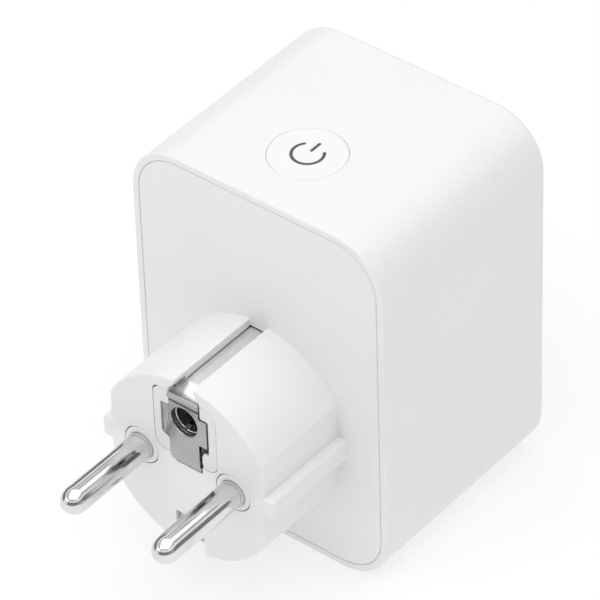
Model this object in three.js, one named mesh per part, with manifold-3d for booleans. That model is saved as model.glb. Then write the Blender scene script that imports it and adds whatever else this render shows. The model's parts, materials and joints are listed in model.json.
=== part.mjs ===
// Smart plug with a hybrid French/German mains plug on the front and a socket well on the rear.
// Units are millimetres. +Z is up, the plug pins point along -Y, the socket well opens along +Y.
// The origin is the centre of the flat bottom face of the body.

import * as THREE from 'three';
import { mergeVertices } from 'three/addons/utils/BufferGeometryUtils.js';
import Module from 'manifold-3d';

const wasm = await Module();
wasm.setup();

// ---------------------------------------------------------------- driving dimensions

const BODY_WIDTH = 51;
const BODY_HEIGHT = 70;
const BODY_DEPTH = 42.5;
const BODY_CORNER = 9.6;
const WALL = 2;
const RIM = 1.3;
const SEAM = 0.15;
const COVER_THICKNESS = 2.2;
const REAR_FILLET = 1;

const AXIS_Z = 26.4;
const PIN_RADIUS = 2.4;
const PIN_LENGTH = 19;
const PIN_PITCH = 19;
const BOSS_RADIUS = 17.75;
const BOSS_DEPTH = 19;
const BOSS_FLAT = 15.8;
const BOSS_RIB = 4;
const BOSS_FACE_THICKNESS = 3.2;
const COLLAR_RADIUS = 3.4;
const EARTH_HOLE_RADIUS = 2.7;
const EARTH_HOLE_HEIGHT = 10;
const STRIP_WIDTH = 3.4;
const STRIP_THICKNESS = 0.8;
const STRIP_RADIUS = 16.05;

const WELL_RADIUS = 19.5;
const WELL_DEPTH = 17.5;
const CUP_WALL = 1.5;
const CUP_FLOOR = 2;
const WELL_GUIDE = 16.6;
const CUP_SCREW_OFFSET = 18.6;
const BRACKET_RADIUS = 21.7;
const BRACKET_Y = -15.4;

const BUTTON_RADIUS = 6.5;
const BUTTON_SETBACK = 13.6;
const ICON_RADIUS = 2.65;
const ICON_STROKE = 0.5;
const ICON_GAP = 50;
const ICON_BAR = [0.7, 2.9];

const BOARD_THICKNESS = 1.6;
const MAIN_BOARD_Z = 49;
const BUTTON_BOARD_Z = 58.6;

// Moulded details of the sleeve and the cover.
const HOOK = { width: 5, places: [-14, 14], catch: 7.5, catchLength: 0.6, length: 9.4, height: 1.35 };
const HOOK_POCKET = { setback: 7.2, length: 2.6, depth: 1 };
const RAIL = { width: 2.2, height: 1.4, front: -15 };
const CUP_POST = { radius: 3, bore: 1.55, length: 7.5 };
const BOARD_POST = { radius: 2.6, bore: 1.3, x: 10.5 };

// Metal contacts of the plug. Heights are from the plug's axis.
const COLLAR_FLANGE = { radius: 4, thickness: 0.8 };
const PIN_HEAD = { radius: 3.2, thickness: 1.2, seat: 1.5 };
const PIN_TAIL = { radius: 1.8, length: 4 };
const BAR = { width: 4.8, low: -3.2, high: 4.6, tab: 4.4, riser: 1.3, bore: 2.1 };
const SOLDER_STUB = 1.2;
const PLATE = { neck: 3, shoulder: 4.6, foot: 3.15, top: 15, bottom: 1.3, proud: 0.2, thickness: 0.7 };
const PLATE_SHOULDER_Z = [6.1, 12.3];
const PLATE_NOTCH_Z = [5, 6.2];
const UPTURN = { half: 2.6, setback: 1.2, top: -11.1 };
const FOOT_NOTCH = { half: 2.9, depth: 2.2, top: -10.4 };
const RETAINER = { width: 12.8, height: 12.8, corner: 2, centre: 8.4, depth: 1.7 };
const EARTH_TUBE = { inner: 2.5, outer: 3.1, front: 0.9, back: 15, slit: 1 };

// Socket, shutter and the pieces behind them.
const EAR = { y: -9.6, thickness: 1.8, radius: 3, bore: 1.6 };
const GUIDE_SCREW_Z = 16.4;
const GUIDE_POST = { radius: 2.2, length: 3.8, bore: 1.2 };
const PIVOT = { radius: 1.5, length: 4.3 };
const WELL_PIN_HOLE = 2.9;
const SHUTTER = { thickness: 1.6, hub: 4.2, arm: 2.4, pad: 3.3, bore: 1.58 };
const SPRING = { turns: 3.25, stepsPerTurn: 12, coil: 2.3, wire: 0.18, height: 1.4 };
const GUIDE = { radius: 14.2, wall: 0.9, thickness: 1.1, gap: 2.2, ear: 2.6, pinHole: 3.1 };
const TUBE = { inner: 2.65, outer: 3.35, length: 12.5, slit: 1, riser: 8 };

// Relay, with heights from the face that it is soldered to.
const RELAY = { width: 19, depth: 15.6, height: 15, wall: 0.8, clearance: 0.5 };
const ARMATURE_Z = 12.9;
const RELAY_CONTACT_X = 6.2;
const RELAY_CONTACT_RADIUS = 0.9;

// Gaps: one between pieces that touch in the real plug, one under a seated piece.
const TOUCH = 0.3;
const SEAT = 0.05;

const SIDES = [-1, 1];

// ---------------------------------------------------------------- derived places

const FRONT_Y = -BODY_DEPTH / 2;
const REAR_Y = BODY_DEPTH / 2;
const FACE = -BOSS_DEPTH;
const PIN_X = PIN_PITCH / 2;
const BUTTON_Y = FRONT_Y + BUTTON_SETBACK;
const COVER_BACK = FRONT_Y + COVER_THICKNESS;
const CUP_RADIUS = WELL_RADIUS + CUP_WALL;
const BOSS_CAVITY_FRONT = FACE + BOSS_FACE_THICKNESS;
const STRIP_END = BRACKET_Y - STRIP_THICKNESS - FRONT_Y;
const BOARD_STUB_TOP = MAIN_BOARD_Z + BOARD_THICKNESS + SOLDER_STUB - AXIS_Z;
const WELL_FLOOR = -WELL_DEPTH;
const CUP_BACK = WELL_FLOOR - CUP_FLOOR;
const SHUTTER_FRONT = CUP_BACK - TOUCH;
const SHUTTER_BACK = SHUTTER_FRONT - SHUTTER.thickness;
const GUIDE_FRONT = SHUTTER_BACK - GUIDE.gap - GUIDE.thickness;

// ---------------------------------------------------------------- materials

function finish(color, roughness, metalness = 0) {
  return new THREE.MeshStandardMaterial({ color, roughness, metalness });
}

const whitePlastic = finish(0xf1f2f3, 0.42);
const whiteInsert = finish(0xe9eaec, 0.5);
const iconPlastic = finish(0x4b4e52, 0.4);
const greyNylon = finish(0xb9bcc0, 0.6);
const blackPlastic = finish(0x26272a, 0.55);
const nickel = finish(0xc9c8c4, 0.18, 1);
const bronze = finish(0xc08a4a, 0.35, 1);
const steel = finish(0x9ea1a5, 0.35, 1);
const copper = finish(0xb5642f, 0.4, 0.8);
const boardGreen = finish(0x1c5a3a, 0.5);
const boardBlack = finish(0x17191c, 0.5);
const capacitorSleeve = finish(0x23365e, 0.35);
const capacitorYellow = finish(0xd9b23a, 0.45);
const varistorBlue = finish(0x2a5fa3, 0.45);
const relayBlue = finish(0x2766a8, 0.5);
const ledClear = finish(0xe6e2c8, 0.2);

// ---------------------------------------------------------------- solids by booleans

function toSolid(geometry) {
  const bare = geometry.clone();
  bare.deleteAttribute('normal');
  bare.deleteAttribute('uv');
  const merged = mergeVertices(bare, 1e-4);
  const corners = merged.index.array;
  const kept = [];
  for (let i = 0; i < corners.length; i += 3) {
    const [a, b, c] = [corners[i], corners[i + 1], corners[i + 2]];
    if (a !== b && b !== c && a !== c) kept.push(a, b, c);
  }
  return new wasm.Manifold(new wasm.Mesh({
    numProp: 3,
    vertProperties: new Float32Array(merged.attributes.position.array),
    triVerts: new Uint32Array(kept),
  }));
}

function toGeometry(solid) {
  const mesh = solid.getMesh();
  const geometry = new THREE.BufferGeometry();
  geometry.setAttribute('position', new THREE.BufferAttribute(mesh.vertProperties, 3));
  geometry.setIndex(new THREE.BufferAttribute(mesh.triVerts, 1));
  geometry.computeVertexNormals();
  return geometry;
}

function join(...geometries) {
  return toGeometry(geometries.map(toSolid).reduce((whole, piece) => whole.add(piece)));
}

function cut(base, ...tools) {
  return toGeometry(tools.map(toSolid).reduce((rest, tool) => rest.subtract(tool), toSolid(base)));
}

function common(first, second) {
  return toGeometry(toSolid(first).intersect(toSolid(second)));
}

// ---------------------------------------------------------------- basic shapes

const X = new THREE.Vector3(1, 0, 0);
const Y = new THREE.Vector3(0, 1, 0);
const Z = new THREE.Vector3(0, 0, 1);

function extruded(shape, length, roundness) {
  const options = { depth: length, bevelEnabled: false, curveSegments: roundness };
  return new THREE.ExtrudeGeometry(shape, options);
}

// A shape drawn in X and Z, extruded along Y.
function alongY(shape, from, to, roundness = 6) {
  return extruded(shape, to - from, roundness).rotateX(Math.PI / 2).translate(0, to, 0);
}

// A shape drawn in Y and Z, extruded along X.
function alongX(shape, from, to, roundness = 6) {
  const turn = new THREE.Matrix4().makeBasis(Y, Z, X);
  return extruded(shape, to - from, roundness).applyMatrix4(turn).translate(from, 0, 0);
}

// A shape drawn in X and Y, extruded along Z.
function alongZ(shape, from, to, roundness = 6) {
  return extruded(shape, to - from, roundness).translate(0, 0, from);
}

// A box between two coordinates on each axis, given in either order.
function box(x0, x1, y0, y1, z0, z1) {
  return new THREE.BoxGeometry(Math.abs(x1 - x0), Math.abs(y1 - y0), Math.abs(z1 - z0))
    .translate((x0 + x1) / 2, (y0 + y1) / 2, (z0 + z1) / 2);
}

// A profile of [radius, height] pairs, turned about the Y axis.
function turnedY(profile, segments = 32) {
  return new THREE.LatheGeometry(profile.map(([r, h]) => new THREE.Vector2(r, h)), segments);
}

function turnedZ(profile, segments = 32) {
  return turnedY(profile, segments).rotateX(Math.PI / 2);
}

function rod(radius, from, to) {
  return [[0, from], [radius, from], [radius, to], [0, to]];
}

function tube(inner, outer, from, to) {
  return [[inner, from], [outer, from], [outer, to], [inner, to], [inner, from]];
}

function roundedRect(width, height, corner, centreX = 0, centreY = 0) {
  const [right, top] = [width / 2 - corner, height / 2 - corner];
  const shape = new THREE.Shape();
  shape.absarc(centreX + right, centreY + top, corner, 0, Math.PI / 2);
  shape.absarc(centreX - right, centreY + top, corner, Math.PI / 2, Math.PI);
  shape.absarc(centreX - right, centreY - top, corner, Math.PI, Math.PI * 1.5);
  shape.absarc(centreX + right, centreY - top, corner, Math.PI * 1.5, Math.PI * 2);
  shape.closePath();
  return shape;
}

function circle(radius, centreX = 0, centreY = 0) {
  const shape = new THREE.Shape();
  shape.absarc(centreX, centreY, radius, 0, Math.PI * 2);
  return shape;
}

function polygon(points) {
  return new THREE.Shape(points.map(([a, b]) => new THREE.Vector2(a, b)));
}

// The outline of a strip of metal of one thickness that follows a path of points.
function ribbon(path, thickness) {
  const points = path.map(([a, b]) => new THREE.Vector2(a, b));
  const left = [];
  const right = [];
  points.forEach((point, i) => {
    const before = points[Math.max(i - 1, 0)];
    const after = points[Math.min(i + 1, points.length - 1)];
    const arriving = (i === 0 ? after.clone().sub(point) : point.clone().sub(before)).normalize();
    const leaving = (after === point ? point.clone().sub(before) : after.clone().sub(point)).normalize();
    const first = new THREE.Vector2(-arriving.y, arriving.x);
    const second = new THREE.Vector2(-leaving.y, leaving.x);
    const scale = thickness / 2 / (1 + first.dot(second));
    const offset = first.add(second).multiplyScalar(scale);
    left.push(point.clone().add(offset));
    right.unshift(point.clone().sub(offset));
  });
  return new THREE.Shape([...right, ...left]);
}

// ---------------------------------------------------------------- assembly helpers

function piece(parent, name, geometry, material, x = 0, y = 0, z = 0) {
  const mesh = new THREE.Mesh(geometry, material);
  mesh.name = name;
  mesh.position.set(x, y, z);
  parent.add(mesh);
  return mesh;
}

function groupAt(parent, x, y, z) {
  const group = new THREE.Group();
  group.position.set(x, y, z);
  parent.add(group);
  return group;
}

// A slotted pan-head screw that points along +Y, with the underside of its head at the origin.
function screwGeometry(headRadius, shankRadius, length) {
  const headHeight = headRadius * 0.7;
  const slotHalf = 0.3;
  const turned = turnedY([
    [0, -headHeight],
    [headRadius * 0.75, -headHeight],
    [headRadius, -headHeight * 0.55],
    [headRadius, 0],
    [shankRadius, 0],
    [shankRadius, length - shankRadius],
    [shankRadius * 0.3, length],
    [0, length],
  ], 12);
  const slot = box(-headRadius, headRadius, -headHeight - 1, -headHeight / 2, -slotHalf, slotHalf);
  return cut(turned, slot);
}

// ---------------------------------------------------------------- body sleeve

const CORNER_SEGMENTS = 5;
const FILLET_STEPS = 3;

// The body's outline drawn in by inset, extruded along Y.
function bodyPrism(inset, from, to) {
  const [width, height] = [BODY_WIDTH - 2 * inset, BODY_HEIGHT - 2 * inset];
  const outline = roundedRect(width, height, BODY_CORNER - inset, 0, BODY_HEIGHT / 2);
  return alongY(outline, from, to, CORNER_SEGMENTS);
}

// A plain prism with thin slabs behind it that step in along the rear fillet.
function sleeveOutside() {
  const slabs = [bodyPrism(0, FRONT_Y, REAR_Y - REAR_FILLET)];
  for (let i = 0; i < FILLET_STEPS; i += 1) {
    const [start, middle, end] = [i, i + 0.5, i + 1].map((k) => (k / FILLET_STEPS) * Math.PI / 2);
    slabs.push(bodyPrism(
      REAR_FILLET * (1 - Math.cos(middle)),
      REAR_Y - REAR_FILLET * (1 - Math.sin(start)),
      REAR_Y - REAR_FILLET * (1 - Math.sin(end)),
    ));
  }
  return join(...slabs);
}

// The four corners of a square about the plug's axis, as [x, z].
function cupScrewPlaces() {
  return SIDES.flatMap((side) => SIDES.map((level) => [side * CUP_SCREW_OFFSET, level * CUP_SCREW_OFFSET]));
}

function hookPockets() {
  const [from, to] = [FRONT_Y + HOOK_POCKET.setback, FRONT_Y + HOOK_POCKET.setback + HOOK_POCKET.length];
  const half = HOOK.width / 2 + 0.4;
  return HOOK.places.flatMap((x) => [WALL, BODY_HEIGHT - WALL].map((wallZ) => (
    box(x - half, x + half, from, to, wallZ - HOOK_POCKET.depth, wallZ + HOOK_POCKET.depth)
  )));
}

function boardRails() {
  const inside = BODY_WIDTH / 2 - WALL;
  const back = REAR_Y - WALL;
  const top = MAIN_BOARD_Z - SEAT;
  return SIDES.map((side) => (
    box(side * (inside - RAIL.width), side * (inside + 0.5), RAIL.front, back, top - RAIL.height, top)
  ));
}

function bodySleeve() {
  const postFrom = REAR_Y - CUP_POST.length;
  const posts = cupScrewPlaces().map(([x, z]) => (
    turnedY(rod(CUP_POST.radius, postFrom, REAR_Y - 1), 12).translate(x, 0, AXIS_Z + z)
  ));
  const bores = cupScrewPlaces().map(([x, z]) => (
    turnedY(rod(CUP_POST.bore, postFrom - 1, REAR_Y - WALL), 10).translate(x, 0, AXIS_Z + z)
  ));
  const hangerLow = BUTTON_BOARD_Z + BOARD_THICKNESS + SEAT;
  const hangers = SIDES.map((side) => (
    turnedZ(rod(BOARD_POST.radius, hangerLow, BODY_HEIGHT - 1), 12)
      .translate(side * BOARD_POST.x, BUTTON_Y, 0)
  ));
  const hangerBores = SIDES.map((side) => (
    turnedZ(rod(BOARD_POST.bore, BUTTON_BOARD_Z, BODY_HEIGHT - WALL - 2), 10)
      .translate(side * BOARD_POST.x, BUTTON_Y, 0)
  ));
  const shell = cut(
    sleeveOutside(),
    bodyPrism(WALL, FRONT_Y - 1, REAR_Y - WALL),
    bodyPrism(RIM, FRONT_Y - 1, COVER_BACK + SEAM),
    alongY(circle(CUP_RADIUS + SEAM, 0, AXIS_Z), REAR_Y - WALL - 1, REAR_Y + 1, 24),
  );
  return cut(
    join(shell, ...posts, ...hangers, ...boardRails()),
    alongZ(circle(BUTTON_RADIUS + SEAM, 0, BUTTON_Y), BODY_HEIGHT - WALL - 1, BODY_HEIGHT + 1, 20),
    ...bores,
    ...hangerBores,
    ...hookPockets(),
  );
}

// ---------------------------------------------------------------- front cover and its boss

function coverHooks() {
  const [clearance, catchDepth] = [0.35, 0.5];
  const root = COVER_BACK - 1;
  const catchFront = FRONT_Y + HOOK.catch;
  const tip = FRONT_Y + HOOK.length;
  return HOOK.places.flatMap((x) => [[WALL, 1], [BODY_HEIGHT - WALL, -1]].map(([wallZ, inward]) => {
    const profile = polygon([
      [root, wallZ + inward * clearance],
      [catchFront, wallZ + inward * clearance],
      [catchFront, wallZ - inward * catchDepth],
      [catchFront + HOOK.catchLength, wallZ - inward * catchDepth],
      [tip, wallZ + inward * catchDepth],
      [tip, wallZ + inward * (clearance + HOOK.height)],
      [root, wallZ + inward * (clearance + HOOK.height)],
    ]);
    return alongX(profile, x - HOOK.width / 2, x + HOOK.width / 2);
  }));
}

function bossOutside() {
  const edge = 0.6;
  const steps = 3;
  const profile = [[0, FACE]];
  for (let i = 0; i <= steps; i += 1) {
    const angle = (i / steps) * Math.PI / 2;
    profile.push([BOSS_RADIUS - edge * (1 - Math.sin(angle)), FACE + edge * (1 - Math.cos(angle))]);
  }
  profile.push([BOSS_RADIUS, 1], [0, 1]);
  return turnedY(profile, 56);
}

// The two side flats, each left standing as a rib along its middle.
function bossFlats() {
  return SIDES.flatMap((side) => SIDES.map((level) => box(
    side * BOSS_FLAT,
    side * (BOSS_RADIUS + 1),
    FACE - 1,
    0,
    level * BOSS_RIB / 2,
    level * 12,
  )));
}

// Grooves along the top and bottom of the boss for the earth strips, with a slot through the plate
// behind each one and a wider mouth in the boss face.
function bossGrooves() {
  const half = STRIP_WIDTH / 2 + 0.2;
  const floor = STRIP_RADIUS - STRIP_THICKNESS / 2 - 2 * TOUCH;
  const roof = STRIP_RADIUS + STRIP_THICKNESS / 2 + TOUCH;
  const brim = BOSS_RADIUS + 1;
  const slotBack = COVER_THICKNESS + 1;
  const neck = PLATE.neck + TOUCH;
  const mouth = polygon([
    [-neck, PLATE.top - 1.3],
    [neck, PLATE.top - 1.3],
    [neck, PLATE.top + 0.6],
    [half, PLATE.top + 2],
    [-half, PLATE.top + 2],
    [-neck, PLATE.top + 0.6],
  ]);
  return [
    box(-half, half, FACE - 1, 0, floor, brim),
    box(-half, half, -0.5, slotBack, floor, roof),
    alongY(mouth, FACE - 1, BOSS_CAVITY_FRONT),
    box(-half, half, FACE - 1, 0, -brim, -floor),
    box(-half, half, -0.5, slotBack, -roof, -floor),
    box(-FOOT_NOTCH.half, FOOT_NOTCH.half, FACE - 1, FACE + FOOT_NOTCH.depth, -brim, FOOT_NOTCH.top),
  ];
}

function retainerOutline(gap) {
  const { width, height, corner, centre } = RETAINER;
  return roundedRect(width + 2 * gap, height + 2 * gap, corner + gap, 0, centre);
}

// Room for the face plate, cut in the boss and in the retainer alike.
function platePocket() {
  const depth = 0.8;
  return alongY(earthPlateOutline(TOUCH), FACE - 1, FACE + depth);
}

function frontCover() {
  const cavityHalf = 13.8;
  const cavity = common(
    turnedY(rod(14, BOSS_CAVITY_FRONT, COVER_THICKNESS + 1), 36),
    box(-cavityHalf, cavityHalf, FACE, COVER_THICKNESS + 2, -15, 15),
  );
  const collarHoles = [-PIN_X, PIN_X].map((x) => (
    turnedY(rod(COLLAR_RADIUS + SEAM, FACE - 1, BOSS_CAVITY_FRONT + 1), 24).translate(x, 0, 0)
  ));
  const tubeHole = circle(EARTH_TUBE.outer + 0.5, 0, EARTH_HOLE_HEIGHT);
  const tools = [
    ...bossFlats(),
    ...bossGrooves(),
    cavity,
    alongY(retainerOutline(SEAM), FACE - 1, FACE + RETAINER.depth + TOUCH),
    platePocket(),
    alongY(tubeHole, FACE - 1, BOSS_CAVITY_FRONT + 1, 12),
    ...collarHoles,
  ].map((tool) => tool.translate(0, FRONT_Y, AXIS_Z));
  const plate = bodyPrism(RIM + SEAM, FRONT_Y, COVER_BACK);
  const boss = bossOutside().translate(0, FRONT_Y, AXIS_Z);
  return cut(join(plate, boss, ...coverHooks()), ...tools);
}

// ---------------------------------------------------------------- mains plug contacts

function plugPin() {
  const tip = FACE - PIN_LENGTH;
  const steps = 5;
  const profile = [];
  for (let i = 0; i <= steps; i += 1) {
    const angle = (i / steps) * Math.PI / 2;
    profile.push([PIN_RADIUS * Math.sin(angle), tip + PIN_RADIUS * (1 - Math.cos(angle))]);
  }
  const head = BOSS_CAVITY_FRONT + PIN_HEAD.seat;
  const tail = head + PIN_HEAD.thickness;
  const end = head + PIN_TAIL.length;
  profile.push([PIN_RADIUS, head], [PIN_HEAD.radius, head], [PIN_HEAD.radius, tail]);
  profile.push([PIN_TAIL.radius, tail], [PIN_TAIL.radius, end], [0, end]);
  return turnedY(profile, 24);
}

// A ring round each pin, flush with the boss face and held by a flange behind it.
function pinCollar() {
  const inner = PIN_RADIUS + SEAM;
  const lip = 0.3;
  const flangeFront = BOSS_CAVITY_FRONT + TOUCH;
  const flangeBack = flangeFront + COLLAR_FLANGE.thickness;
  return turnedY([
    [inner, FACE + 0.15],
    [COLLAR_RADIUS - lip, FACE - 0.1],
    [COLLAR_RADIUS, FACE + 0.1],
    [COLLAR_RADIUS, flangeFront],
    [COLLAR_FLANGE.radius, flangeFront],
    [COLLAR_FLANGE.radius, flangeBack],
    [inner, flangeBack],
    [inner, FACE + 0.15],
  ], 24);
}

// The face plate has a narrow neck at its top, wide shoulders and a foot with cut corners.
function earthPlateOutline(gap) {
  const [neck, shoulder, foot] = [PLATE.neck + gap, PLATE.shoulder + gap, PLATE.foot + gap];
  const [shoulderLow, shoulderHigh] = [PLATE_SHOULDER_Z[0] - gap, PLATE_SHOULDER_Z[1] + gap];
  const bottom = PLATE.bottom - gap;
  const corner = 0.9;
  const right = [
    [foot - corner, bottom],
    [foot, bottom + corner],
    [foot, shoulderLow],
    [shoulder, shoulderLow],
    [shoulder, shoulderHigh],
    [neck, shoulderHigh],
    [neck, PLATE.top],
  ];
  const left = right.map(([x, z]) => [-x, z]).reverse();
  return polygon([...right, ...left]);
}

// The insert round the face plate, open at its top for the strip's neck.
function earthRetainer() {
  const neckHalf = PLATE.neck + 2 * TOUCH;
  const tubeHole = circle(EARTH_TUBE.outer + 0.4, 0, EARTH_HOLE_HEIGHT);
  return cut(
    alongY(retainerOutline(0), FACE, FACE + RETAINER.depth),
    platePocket(),
    alongY(tubeHole, FACE - 1, FACE + 3, 12),
    box(-neckHalf, neckHalf, FACE - 1, FACE + 3, PLATE.top - 1.4, PLATE.top + 1),
  );
}

// The strip lies in the top groove, dips behind the boss edge and rolls down into the face plate.
function earthStripTop() {
  const path = [
    [STRIP_END, STRIP_RADIUS],
    [FACE + 7, STRIP_RADIUS],
    [FACE + 2.5, STRIP_RADIUS - 0.5],
    [FACE + 0.7, STRIP_RADIUS - 1.15],
    [FACE + 0.2, STRIP_RADIUS - 1.6],
  ];
  const strip = alongX(ribbon(path, STRIP_THICKNESS), -STRIP_WIDTH / 2, STRIP_WIDTH / 2);
  const flare = alongX(ribbon(path.slice(2), STRIP_THICKNESS), -2.2, 2.2);
  const neck = alongX(ribbon(path.slice(3), STRIP_THICKNESS), -PLATE.neck, PLATE.neck);
  const rollRadius = 0.62;
  const roll = alongX(circle(rollRadius, FACE + 0.2, PLATE.top - 0.42), -PLATE.neck, PLATE.neck);
  const plateFront = FACE - PLATE.proud;
  const plate = alongY(earthPlateOutline(0), plateFront, plateFront + PLATE.thickness);
  const hole = alongY(circle(EARTH_HOLE_RADIUS, 0, EARTH_HOLE_HEIGHT), FACE - 1, FACE + 1, 16);
  const notch = box(PLATE.foot - 0.3, PLATE.shoulder, FACE - 1, FACE + 1, ...PLATE_NOTCH_Z);
  return cut(join(strip, flare, neck, roll, plate), hole, notch);
}

// The strip lies in the bottom groove and turns up, wider, into the notch of the boss face.
function earthStripBottom() {
  const upturn = FACE + UPTURN.setback;
  const path = [
    [STRIP_END, -STRIP_RADIUS],
    [upturn + 1, -STRIP_RADIUS],
    [upturn + 0.3, -STRIP_RADIUS + 0.3],
    [upturn, -STRIP_RADIUS + 1],
    [upturn, UPTURN.top],
  ];
  const strip = alongX(ribbon(path, STRIP_THICKNESS), -STRIP_WIDTH / 2, STRIP_WIDTH / 2);
  const foot = alongX(ribbon(path.slice(2), STRIP_THICKNESS), -UPTURN.half, UPTURN.half);
  return join(strip, foot);
}

// The slit tube behind the hole of the face plate, which grips the earth pin of a French outlet.
function earthSleeve() {
  const [from, to] = [FACE + EARTH_TUBE.front, FACE + EARTH_TUBE.back];
  const half = EARTH_TUBE.slit / 2;
  return cut(
    turnedY(tube(EARTH_TUBE.inner, EARTH_TUBE.outer, from, to), 20),
    box(-EARTH_TUBE.outer - 0.9, -1, from - 1, to - 2, -half, half),
  );
}

// A strip from a pin's tail, back through the boss and up through the main board.
function pinBar() {
  const tabY = BOSS_CAVITY_FRONT + BAR.tab;
  const riserY = COVER_THICKNESS + BAR.riser;
  const path = [
    [tabY, BAR.low],
    [tabY, BAR.high],
    [riserY, BAR.high],
    [riserY, BOARD_STUB_TOP],
  ];
  const strip = alongX(ribbon(path, STRIP_THICKNESS), -BAR.width / 2, BAR.width / 2);
  return cut(strip, turnedY(rod(BAR.bore, tabY - 1, tabY + 1), 12));
}

// ---------------------------------------------------------------- socket on the rear

// Ribs on both sides of the well that key an entering plug by its flats.
function wellGuides() {
  const ring = turnedY(tube(WELL_GUIDE - 1, WELL_RADIUS + 0.5, WELL_FLOOR - 1, -3), 48);
  return SIDES.flatMap((side) => SIDES.map((level) => common(ring, box(
    side * WELL_GUIDE,
    side * (WELL_RADIUS + 1),
    WELL_FLOOR - 1,
    0,
    level * (BOSS_RIB / 2 + 0.6),
    level * 11,
  ))));
}

// An arm on the cup's outside for each screw that holds it to the sleeve.
function cupEars() {
  return cupScrewPlaces().map(([x, z]) => {
    const reach = Math.hypot(x, z);
    const [from, to] = [EAR.y, EAR.y + EAR.thickness];
    const arm = box(CUP_RADIUS - 1, reach, from, to, -EAR.radius, EAR.radius);
    const end = turnedY(rod(EAR.radius, from, to), 12).translate(reach, 0, 0);
    return join(arm, end).rotateY(-Math.atan2(z, x));
  });
}

function socketCup() {
  const chamfer = 0.5;
  const clipSlot = { half: 3, reach: 4, front: WELL_FLOOR + 0.4, back: -2 };
  const cup = turnedY([
    [0, CUP_BACK],
    [CUP_RADIUS, CUP_BACK],
    [CUP_RADIUS, 0],
    [WELL_RADIUS + chamfer, 0],
    [WELL_RADIUS, -chamfer],
    [WELL_RADIUS, WELL_FLOOR],
    [0, WELL_FLOOR],
  ], 48);
  const posts = SIDES.map((level) => (
    turnedY(rod(GUIDE_POST.radius, CUP_BACK - GUIDE_POST.length, CUP_BACK + 1), 12)
      .translate(0, 0, level * GUIDE_SCREW_Z)
  ));
  const postBores = SIDES.map((level) => (
    turnedY(rod(GUIDE_POST.bore, CUP_BACK - 5, CUP_BACK + 1), 10).translate(0, 0, level * GUIDE_SCREW_Z)
  ));
  const earBores = cupScrewPlaces().map(([x, z]) => (
    turnedY(rod(EAR.bore, EAR.y - 1, EAR.y + 3), 10).translate(x, 0, z)
  ));
  const pinHoles = [-PIN_X, PIN_X].map((x) => (
    turnedY(rod(WELL_PIN_HOLE, CUP_BACK - 1, WELL_FLOOR + 1), 20).translate(x, 0, 0)
  ));
  const slots = SIDES.map((level) => box(
    -clipSlot.half,
    clipSlot.half,
    clipSlot.front,
    clipSlot.back,
    level * (CUP_RADIUS - 1 - clipSlot.reach),
    level * (CUP_RADIUS - 1 + clipSlot.reach),
  ));
  const pivot = turnedY(rod(PIVOT.radius, CUP_BACK - PIVOT.length, CUP_BACK + 1), 16);
  const whole = join(cup, ...wellGuides(), ...cupEars(), ...posts, pivot);
  return cut(whole, ...slots, ...earBores, ...postBores, ...pinHoles);
}

function shutterRotor() {
  const hub = turnedY(rod(SHUTTER.hub, SHUTTER_BACK, SHUTTER_FRONT), 20);
  const arm = box(-PIN_X, PIN_X, SHUTTER_BACK, SHUTTER_FRONT, -SHUTTER.arm, SHUTTER.arm);
  const pads = [-PIN_X, PIN_X].map((x) => (
    turnedY(rod(SHUTTER.pad, SHUTTER_BACK, SHUTTER_FRONT), 20).translate(x, 0, 0)
  ));
  const bore = turnedY(rod(SHUTTER.bore, SHUTTER_BACK - 1, SHUTTER_FRONT + 1), 16);
  // Each pad slopes away from the pin hole, so that an entering pin turns the rotor.
  const [rampDepth, rampLow, rampHigh, rampHalf] = [1.1, -4, 2.2, 3.8];
  const ramps = SIDES.map((side) => {
    const slope = polygon([
      [SHUTTER_FRONT - rampDepth, rampLow],
      [SHUTTER_FRONT + 0.1, rampHigh],
      [SHUTTER_FRONT + 1, rampHigh],
      [SHUTTER_FRONT + 1, rampLow],
    ]);
    const wedge = alongX(slope, PIN_X - rampHalf, PIN_X + rampHalf);
    return side > 0 ? wedge : wedge.rotateY(Math.PI);
  });
  return cut(join(hub, arm, ...pads), bore, ...ramps);
}

// A coil round the pivot, drawn as a tube along a helix.
function shutterSpring() {
  const from = SHUTTER_BACK - 0.5;
  const steps = SPRING.turns * SPRING.stepsPerTurn;
  const points = [];
  for (let i = 0; i <= steps; i += 1) {
    const angle = (i / SPRING.stepsPerTurn) * Math.PI * 2;
    const y = from - SPRING.height * (i / steps);
    points.push(new THREE.Vector3(SPRING.coil * Math.cos(angle), y, SPRING.coil * Math.sin(angle)));
  }
  return new THREE.ExtrudeGeometry(circle(SPRING.wire), {
    extrudePath: new THREE.CatmullRomCurve3(points),
    steps,
    curveSegments: 3,
  });
}

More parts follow.
